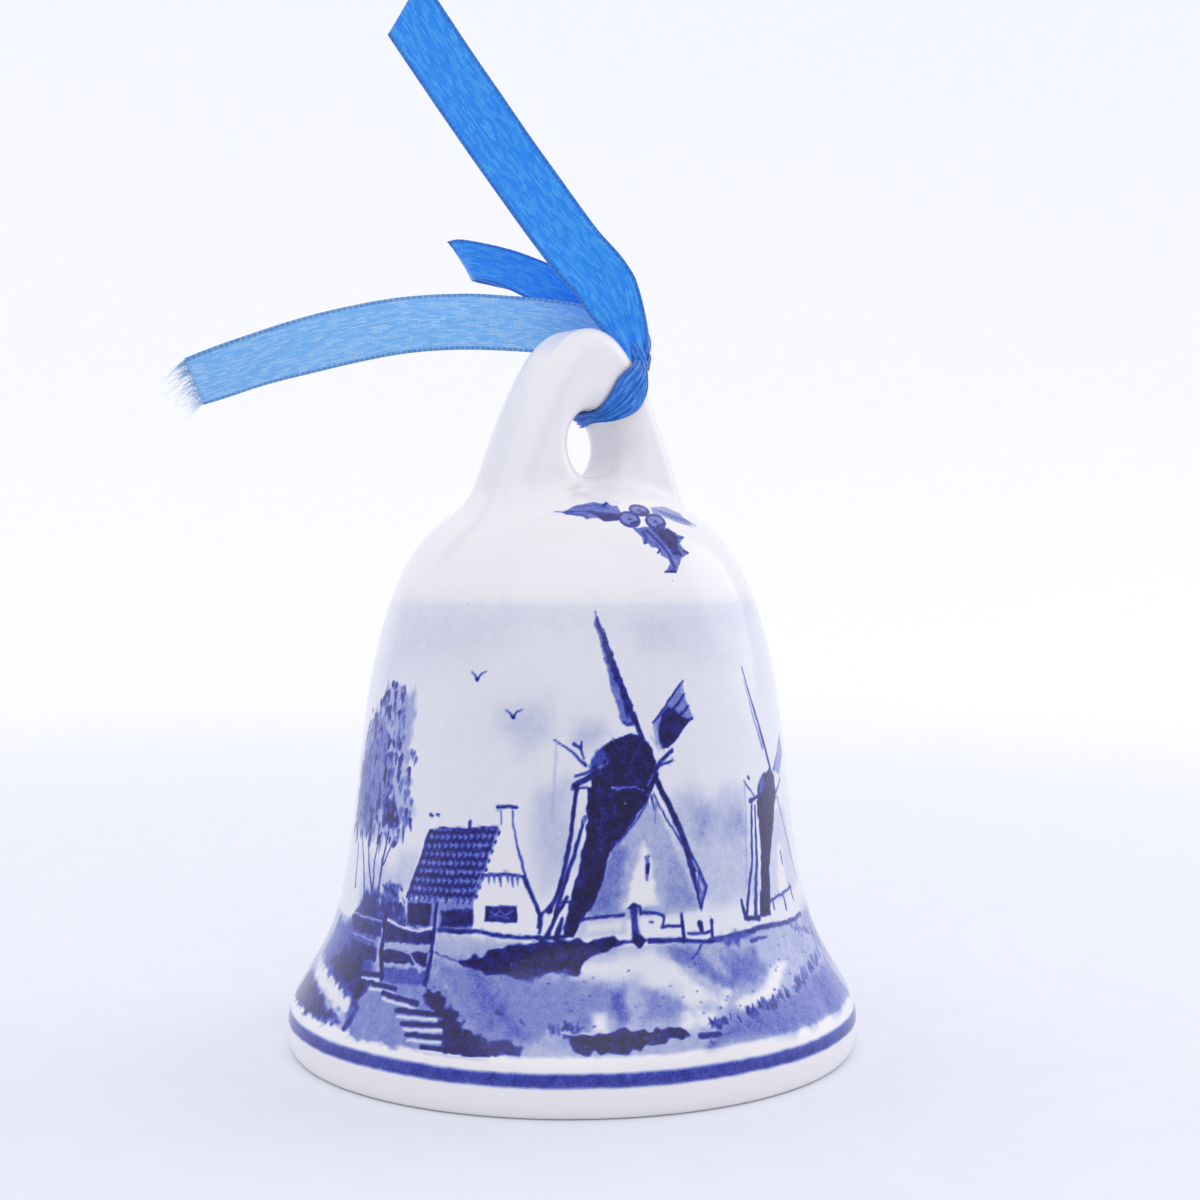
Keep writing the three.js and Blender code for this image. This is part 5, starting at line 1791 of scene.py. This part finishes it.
@dataclass
class RibbonWrap:
    """The ribbon's turn round the handle, gathered in lengthwise folds, mm."""

    angle: float = math.radians(35)
    inner: float = 3.74
    outer: float = 9.69
    breadth: float = 8.4
    length: float = 4.3
    centre: tuple = (0.8, 62.2)
    square: float = 3.3          # how square its loop round the strap is: 2 is an oval
    rounds: int = 150
    columns: int = 97

    def build(self, finish: Material) -> Object:
        """Builds the gathered band as a closed skin round the strap.

        Args:
            finish: The satin for the side that shows.

        Returns:
            The piece.
        """
        out = np.array([math.sin(self.angle), 0, math.cos(self.angle)])
        side = np.array([0.0, 1.0, 0.0])
        run = np.array([math.cos(self.angle), 0, -math.sin(self.angle)])
        middle = np.array([self.centre[0], 0, self.centre[1]])
        half_r, half_y = (self.outer - self.inner) / 2, self.breadth / 2
        core = (self.outer + self.inner) / 2
        t = np.linspace(0, 2 * math.pi, self.rounds + 1)[:-1]
        w = np.linspace(-1, 1, self.columns)
        points, uv, heights = [], [], []
        for angle in t:
            c, s = math.cos(angle), math.sin(angle)
            reach = (abs(c) ** self.square + abs(s) ** self.square) ** (-1 / self.square)
            outward = np.array([c, s]) / np.linalg.norm([c, s])
            # Pulled tight into the hole, spread on the flat side, gathered again at the knot.
            at_hole, at_knot = max(0.0, -c) ** 2, max(0.0, c * 0.9 - s * 0.35) ** 3
            half = self.length / 2 * (1.0 - 0.45 * at_hole - 0.42 * at_knot)
            for column, x in enumerate(w):
                phase = 0.5 * math.sin(angle * 2 + 1) + 0.35 * math.sin(angle * 3 + x * 2)
                fold = 0.11 * math.sin(x * 17 + phase * 2.6) + 0.06 * math.sin(x * 41 + 5 * phase)
                rise = 0.22 + (0.24 + fold + 0.5 * at_knot) * max(0.0, 1 - x ** 6) ** 0.5
                radial = core + (half_r * reach * c + rise * outward[0])
                across = half_y * reach * s + rise * outward[1]
                drift = 0.5 * math.sin(angle) + 0.2 * max(0.0, c) - 0.8 * at_hole
                points.append(middle + out * radial + side * across + run * (x * half + drift))
                uv.append(((x + 1) * 3, angle * 4.6))
                heights.append(rise)
        handle = LoopHandle()
        outline = handle.outline(28)
        points = settle_on(np.array(points), lambda p: handle.distance(p, outline), np.array(heights))
        n = self.columns
        faces = [(i * n + j, i * n + j + 1, (i + 1) % self.rounds * n + j + 1, (i + 1) % self.rounds * n + j)
                 for i in range(self.rounds) for j in range(n - 1)]
        band = mesh_object("ribbon_wrap_gathered", points, [], faces)
        # One face's corners at a time, as the last round joins the first.
        flat, step = [], 4.6 * 2 * math.pi / self.rounds
        for i in range(self.rounds):
            for a, b in zip(uv[i * n:i * n + n - 1], uv[i * n + 1:i * n + n]):
                flat += [a, b, (b[0], b[1] + step), (a[0], a[1] + step)]
        band.data.uv_layers.new(name="UVMap").data.foreach_set("uv", np.array(flat).ravel())
        in_edit_mode(band, turn_outwards)
        apply_modifier(band, "SOLIDIFY", thickness=0.16 * MM, offset=-1.0)
        make_smooth(band)
        return dress(band, finish, Body.BELL, Slot.RIBBON, "ribbon_wrap")


@dataclass
class RibbonKnot:
    """The half knot: a pulled lump of folds with one turn of ribbon across it, mm."""

    half: tuple = (1.5, 2.3, 2.1)

    def build(self, finish: Material) -> Object:
        """Builds the knot from a sphere drawn into twisted folds.

        Args:
            finish: The satin for the side that shows.

        Returns:
            The piece.
        """
        deselect()
        bpy.ops.mesh.primitive_uv_sphere_add(segments=112, ring_count=64, radius=1, location=(0, 0, 0))
        knot = bpy.context.object
        knot.name = "ribbon_knot_pulled"
        p = coords(knot) * MM
        turn = np.arctan2(p[:, 1], p[:, 0])
        folds = 0.075 * np.sin(turn * 9 + p[:, 2] * 3.2) + 0.045 * np.sin(turn * 17 - p[:, 2] * 5)
        band = np.exp(-((p[:, 0] * 0.75 + p[:, 2] * 0.55 - 0.1) / 0.34) ** 2)
        across = np.arctan2(p[:, 2], p[:, 1])
        cords = 0.05 * np.sin((p[:, 0] * 0.75 + p[:, 2] * 0.55) * 22 + np.sin(across * 2))
        size = 0.86 + folds * (1 - band) + band * (0.15 + cords)
        shaped = p * size[:, None] * np.array(self.half)
        c, s = math.cos(TIE_TURN), math.sin(TIE_TURN)
        placed = shaped @ np.array([[c, s, 0], [-s, c, 0], [0, 0, 1]]) + KNOT
        set_coords(knot, placed)
        layer = knot.data.uv_layers.active
        layer.name = "UVMap"
        corner = np.empty(len(knot.data.loops) * 2)
        layer.data.foreach_get("uv", corner)
        layer.data.foreach_set("uv", (corner.reshape(-1, 2) * [16, 9]).ravel())
        make_smooth(knot)
        return dress(knot, finish, Body.BELL, Slot.RIBBON, "ribbon_knot")


# ---- Inside the bell -------------------------------------------------------------------
@dataclass
class Hanger:
    """The cement plug with its wire staple, and the loose link that swings from it, mm."""

    plug_radius: float = 6.5
    plug_bottom: float = 50.7
    staple_half: float = 1.8
    staple_wire: float = 0.6
    bar_height: float = 47.9
    link_radius: float = 2.4
    link_wire: float = 0.5
    link_height: float = 46.9

    def build_plug(self, finish: Material) -> Object:
        """Builds the cement pad with its softened, trowelled lower edge."""
        deselect()
        depth = 3.4
        bpy.ops.mesh.primitive_cylinder_add(vertices=64, radius=self.plug_radius * MM, depth=depth * MM,
                                            location=(0, 0, (self.plug_bottom + depth / 2) * MM))
        plug = bpy.context.object
        plug.name = "crown_plug_trowelled"
        bpy.ops.object.transform_apply(location=True, rotation=False, scale=False)
        apply_modifier(plug, "BEVEL", width=0.7 * MM, segments=4, limit_method="ANGLE")
        bpy.ops.object.mode_set(mode="EDIT")
        bpy.context.scene.tool_settings.mesh_select_mode = (False, False, True)
        bpy.ops.mesh.select_all(action="SELECT")
        bpy.ops.mesh.quads_convert_to_tris()
        bpy.ops.mesh.subdivide(number_cuts=2)
        bpy.ops.object.mode_set(mode="OBJECT")
        points = coords(plug)
        low = points[:, 2] < self.plug_bottom + 1.5
        lumps = value_noise(points[:, 0], points[:, 1], 1.9, 9) * 0.14
        points[:, 2] += np.where(low, lumps + 0.14, 0)
        set_coords(plug, points)
        make_smooth(plug)
        pick(plug)
        bpy.ops.object.shade_smooth_by_angle(angle=math.radians(40))
        return dress(plug, finish, Body.BELL, Slot.CEMENT, "crown_plug")

    def build_staple(self, finish: Material) -> Object:
        """Spins a round wire half a turn and draws both ends up into the plug."""
        deselect()
        centre = self.bar_height + self.staple_half
        bpy.ops.mesh.primitive_circle_add(vertices=20, radius=self.staple_wire * MM, fill_type="NOTHING",
                                          location=(-self.staple_half * MM, 0, centre * MM))
        staple = bpy.context.object
        staple.name = "staple_wire"
        bpy.ops.object.transform_apply(location=True, rotation=False, scale=False)
        in_edit_mode(staple, lambda: bpy.ops.mesh.spin(
            steps=24, angle=math.pi, center=(0, 0, centre * MM), axis=(0, -1, 0)))
        for _ in range(2):
            in_edit_mode(staple, lambda: (select_open_edges(), bpy.ops.mesh.extrude_region_move(
                TRANSFORM_OT_translate={"value": (0, 0, 1.2 * MM)})))
        self.close_ends(staple)
        return dress(staple, finish, Body.BELL, Slot.STEEL, "staple")

    def close_ends(self, piece: Object) -> None:
        """Fills a wire's open ends and turns its faces outwards."""
        in_edit_mode(piece, lambda: (select_open_edges(), bpy.ops.mesh.edge_face_add()), turn_outwards)
        make_smooth(piece)

    def build_link(self, finish: Material) -> Object:
        """Builds the ring that joins the staple and the clapper."""
        deselect()
        bpy.ops.mesh.primitive_torus_add(major_segments=72, minor_segments=20, align="WORLD",
                                         major_radius=self.link_radius * MM, minor_radius=self.link_wire * MM,
                                         location=(0, 0, self.link_height * MM), rotation=(0, math.pi / 2, 0))
        link = bpy.context.object
        link.name = "hanger_link_wire"
        bpy.ops.object.transform_apply(location=True, rotation=True, scale=True)
        make_smooth(link)
        return dress(link, finish, Body.LINK, Slot.STEEL, "hanger_link")


@dataclass
class Clapper:
    """The wire stem with its eye, the glazed bead and the crimped ferrule under it, mm."""

    eye_height: float = 44.2
    eye_radius: float = 1.6
    wire: float = 0.5
    stem_low: float = 5.9
    bead_height: float = 14.3
    bead_radius: float = 6.2
    bore: float = 0.8
    ferrule_low: float = 6.3
    ferrule_high: float = 7.8
    ferrule_radius: float = 1.6

    def build_stem(self, finish: Material) -> Object:
        """Builds the straight wire, joins its eye to it and rounds its cut end."""
        deselect()
        high = self.eye_height - self.eye_radius
        bpy.ops.mesh.primitive_cylinder_add(vertices=24, radius=self.wire * MM,
                                            depth=(high - self.stem_low) * MM,
                                            location=(0, 0, (high + self.stem_low) / 2 * MM))
        stem = bpy.context.object
        stem.name = "clapper_stem_wire"
        bpy.ops.object.transform_apply(location=True, rotation=False, scale=False)
        apply_modifier(stem, "BEVEL", width=0.15 * MM, segments=3, limit_method="ANGLE")
        bpy.ops.mesh.primitive_torus_add(major_segments=64, minor_segments=20, align="WORLD",
                                         major_radius=self.eye_radius * MM, minor_radius=self.wire * MM,
                                         location=(0, 0, self.eye_height * MM), rotation=(math.pi / 2, 0, 0))
        eye = bpy.context.object
        bpy.ops.object.transform_apply(location=True, rotation=True, scale=True)
        # The lapped wire below the eye: four close turns round the stem.
        turns = []
        for k in range(4):
            bpy.ops.mesh.primitive_torus_add(major_segments=32, minor_segments=12, align="WORLD",
                                             major_radius=0.62 * MM, minor_radius=0.26 * MM,
                                             location=(0, 0, (high - 1.0 - k * 0.5) * MM),
                                             rotation=(0.12, 0.05, 0))
            bpy.ops.object.transform_apply(location=True, rotation=True, scale=True)
            turns.append(bpy.context.object)
        deselect()
        for piece in (*turns, eye, stem):
            piece.select_set(True)
        bpy.context.view_layer.objects.active = stem
        bpy.ops.object.join()
        make_smooth(stem)
        return dress(stem, finish, Body.CLAPPER, Slot.STEEL, "clapper_stem")

    def build_bead(self, finish: Material) -> Object:
        """Spins the bead's half section, with its bore's edges rounded."""
        start = math.acos((self.bore + 0.35) / self.bead_radius)
        arc = [(self.bead_radius * math.cos(a), self.bead_height + self.bead_radius * math.sin(a))
               for a in np.linspace(-start, start, 49)]
        low, high = arc[0], arc[-1]
        lip_low = [(self.bore, low[1] + 0.3), (self.bore + 0.12, low[1] + 0.06)]
        lip_high = [(self.bore + 0.12, high[1] - 0.06), (self.bore, high[1] - 0.3)]
        section = lip_low + arc + lip_high
        bead = spin_round("clapper_bead_glazed", section, 96, closed=True)
        make_smooth(bead)
        return dress(bead, finish, Body.CLAPPER, Slot.BEAD, "clapper_bead")

    def build_ferrule(self, finish: Material) -> Object:
        """Spins the tube and pinches two flats into it, as crimping pliers do."""
        r, b, low, high, e = self.ferrule_radius, self.bore, self.ferrule_low, self.ferrule_high, 0.14
        section = [(b, low + e), (b + e, low), (r - e, low), (r, low + e),
                   (r, (low + high) / 2), (r, high - e),
                   (r - e, high), (b + e, high), (b, high - e)]
        tube = spin_round("clapper_ferrule_crimped", section, 48, closed=True)
        points = coords(tube)
        outer = np.hypot(points[:, 0], points[:, 1]) > 1.2
        middle = np.exp(-((points[:, 2] - (low + high) / 2) / 0.35) ** 2)
        points[:, 1] *= np.where(outer, 1 - 0.16 * middle, 1)
        set_coords(tube, points)
        make_smooth(tube)
        pick(tube)
        bpy.ops.object.shade_smooth_by_angle(angle=math.radians(50))
        return dress(tube, finish, Body.CLAPPER, Slot.BRASS, "clapper_ferrule")


# ---- Studio ----------------------------------------------------------------------------
@dataclass
class Studio:
    """The camera, a pale paper sweep and plain soft light."""

    eye: tuple = (-0.1193, -0.1466, 0.0495)
    heading: float = math.radians(-40)
    lens: float = 53.7
    shift: float = -0.0283
    sky_front: float = 0.95
    sky_back: float = 1.1
    right_power: float = 0.45
    front_power: float = 1.2

    def build_camera(self) -> None:
        """Puts the camera level in front of the bell, turned to look along the painting's middle."""
        data = bpy.data.cameras.new("camera")
        data.lens, data.sensor_width, data.shift_y = self.lens, 36.0, self.shift
        data.clip_start, data.clip_end = 0.005, 20.0
        camera = bpy.data.objects.new("camera", data)
        camera.location = self.eye
        camera.rotation_euler = (math.pi / 2, 0, self.heading)
        bpy.context.scene.collection.objects.link(camera)
        bpy.context.scene.camera = camera

    def build_sweep(self) -> None:
        """Spins the paper: a flat floor that curves up all round into a pale wall."""
        section = [(0.0, 0.0), (0.15, 0.0), (0.45, 0.0)]
        section += [(0.45 + 0.65 * math.sin(a), 0.65 - 0.65 * math.cos(a))
                    for a in np.linspace(0.08, 1.5, 18)]
        points = np.array([(r, z - 0.00005) for r, z in section]) / MM
        paper = spin_round("studio_paper", points, 96, closed=False, inside=True, merge=0.01)
        make_smooth(paper)
        paper.data.materials.append(StudioPaper().make())

    def add_softbox(self, name: str, place: tuple, size: float, power: float) -> None:
        """Adds one round soft light that faces the bell.

        Args:
            name: The light's name.
            place: Where it stands, in metres.
            size: Its diameter in metres.
            power: Its power in watts.
        """
        data = bpy.data.lights.new(name, "AREA")
        data.shape, data.size, data.energy = "DISK", size, power
        light = bpy.data.objects.new(name, data)
        light.location = place
        aim = Vector((0, 0, 0.04)) - Vector(place)
        light.rotation_euler = aim.to_track_quat("-Z", "Y").to_euler()
        bpy.context.scene.collection.objects.link(light)

    def build_lights(self) -> None:
        """Lights the bell from above and from its right, with an even white surround."""
        world = bpy.data.worlds.new("studio")
        world.use_nodes = True
        tree = world.node_tree
        ground = tree.nodes["Background"]
        ground.inputs["Color"].default_value = linear("#f8f7fa")
        way = add_node(tree, "TexCoord").outputs["Generated"]
        ahead = (math.sin(-self.heading), math.cos(-self.heading), 0.35)
        along = add_node(tree, "VectorMath", {"operation": "DOT_PRODUCT"}, {0: way, 1: ahead})
        level = add_node(tree, "MapRange", inputs={
            "Value": along.outputs["Value"], "From Min": -0.9, "From Max": 0.8,
            "To Min": self.sky_front, "To Max": self.sky_back})
        tree.links.new(level.outputs[0], ground.inputs["Strength"])
        bpy.context.scene.world = world
        bpy.context.scene.view_settings.view_transform = "Standard"
        self.add_softbox("softbox_right", (0.62, -0.19, 0.3), 0.5, self.right_power)
        self.add_softbox("softbox_front", (-0.35, -0.42, 0.6), 0.95, self.front_power)

    def build(self) -> None:
        """Builds the camera, the paper and the lights."""
        self.build_camera()
        self.build_sweep()
        self.build_lights()


def ribbon_lengths() -> tuple[RibbonLength, RibbonLength, RibbonLength]:
    """The two free tails and the loop behind them, on the frame's own routes."""
    up = RibbonLength(
        "ribbon_tail_up_satin", "ribbon_tail_up",
        [(-0.4, -2.0, -1.1), (-0.5, -1.4, 1.0), (-1.1, -0.5, 3.1), (-2.5, -1, 6.0), (-4.1, -1.3, 8.6),
         (-6.7, -1.8, 11.5), (-12.3, -2.6, 19), (-18.6, -3.5, 27.9), (-24.6, -4.2, 36.7)],
        [(1, 0.1, 0.3), (1, 0, 0.5), (1, 0, 0.5)], SatinSide.REVERSE, "bare",
        slant=3.0, pinch=0.74, width=6.4)
    side = RibbonLength(
        "ribbon_tail_side_satin", "ribbon_tail_side",
        [(-0.2, 0.8, 0.0), (-0.9, 2.1, 1.5), (-2.2, 3, 2.5), (-5.4, 4, 3.3), (-9.9, 3.7, 4),
         (-14.9, 2.9, 4.3), (-19.3, 1.9, 4.3), (-25.7, 0.8, 3.7), (-33, -0.3, 2.1), (-40.4, -1.3, -0.1),
         (-47.2, -2.2, -2.6)],
        [(0, 0, -1), (0, 0, -1), (0, 0.15, -1), (0, 0.8, -1)], SatinSide.FACE, "bare", pinch=0.6)
    back = RibbonLength(
        "ribbon_back_loop_satin", "ribbon_back_loop",
        [(0.1, 1.5, 0.3), (0, 3, 1.9), (-1.2, 4.4, 3.8), (-4.1, 5.3, 5.9), (-10.1, 5.3, 8.9),
         (-15.1, 5.3, 10.8), (-18.1, 5.3, 11.5), (-19.5, 6.5, 11.6), (-18.1, 7.7, 11.5), (-15.1, 7.7, 10.8),
         (-10.1, 7.7, 8.9), (-4.1, 7.7, 5.9), (-1.2, 6.9, 3.9), (0.4, 5, 1.8), (0.7, 3, 0.2), (0.4, 1.6, -0.5)],
        [(0.5, 0, 1), (0.5, 0, 1)], SatinSide.REVERSE, "object", pinch=0.6,
        reach=19.0, returns=True, squeeze=0.2, skew=2.5)
    return up, side, back


def main() -> None:
    """Builds the studio and every piece in order."""
    logging.basicConfig(level=logging.INFO, format="%(name)s: %(message)s")
    Studio().build()
    # The face satin carries painted sheen in its paler tones.
    face, reverse = SatinRibbon(SatinSide.FACE).make(), SatinRibbon(SatinSide.REVERSE).make()
    up, side, back = ribbon_lengths()
    strips = up.build(reverse), side.build(face), back.build(reverse)
    threads = FrayedEnd(side).build(SatinRibbon(SatinSide.FRAYED).make())
    # The wrap and the knot get the deeper satin, with painted shade for their folds.
    gathered = SatinRibbon(SatinSide.GATHERED).make()
    RibbonWrap().build(gathered)
    knot = RibbonKnot().build(gathered)
    for length, strip, with_pieces in zip((up, side, back), strips, ([knot], [threads], [])):
        length.declare(strip, with_pieces)
    BellBody().build()
    steel = DrawnSteelWire().make()
    hanger = Hanger()
    hanger.build_plug(PottersCement().make())
    hanger.build_staple(steel)
    hanger.build_link(steel)
    clapper = Clapper()
    clapper.build_stem(steel)
    clapper.build_bead(WhiteGlaze().make())
    clapper.build_ferrule(CrimpedBrass().make())
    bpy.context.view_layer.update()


if __name__ == "__main__":
    main()
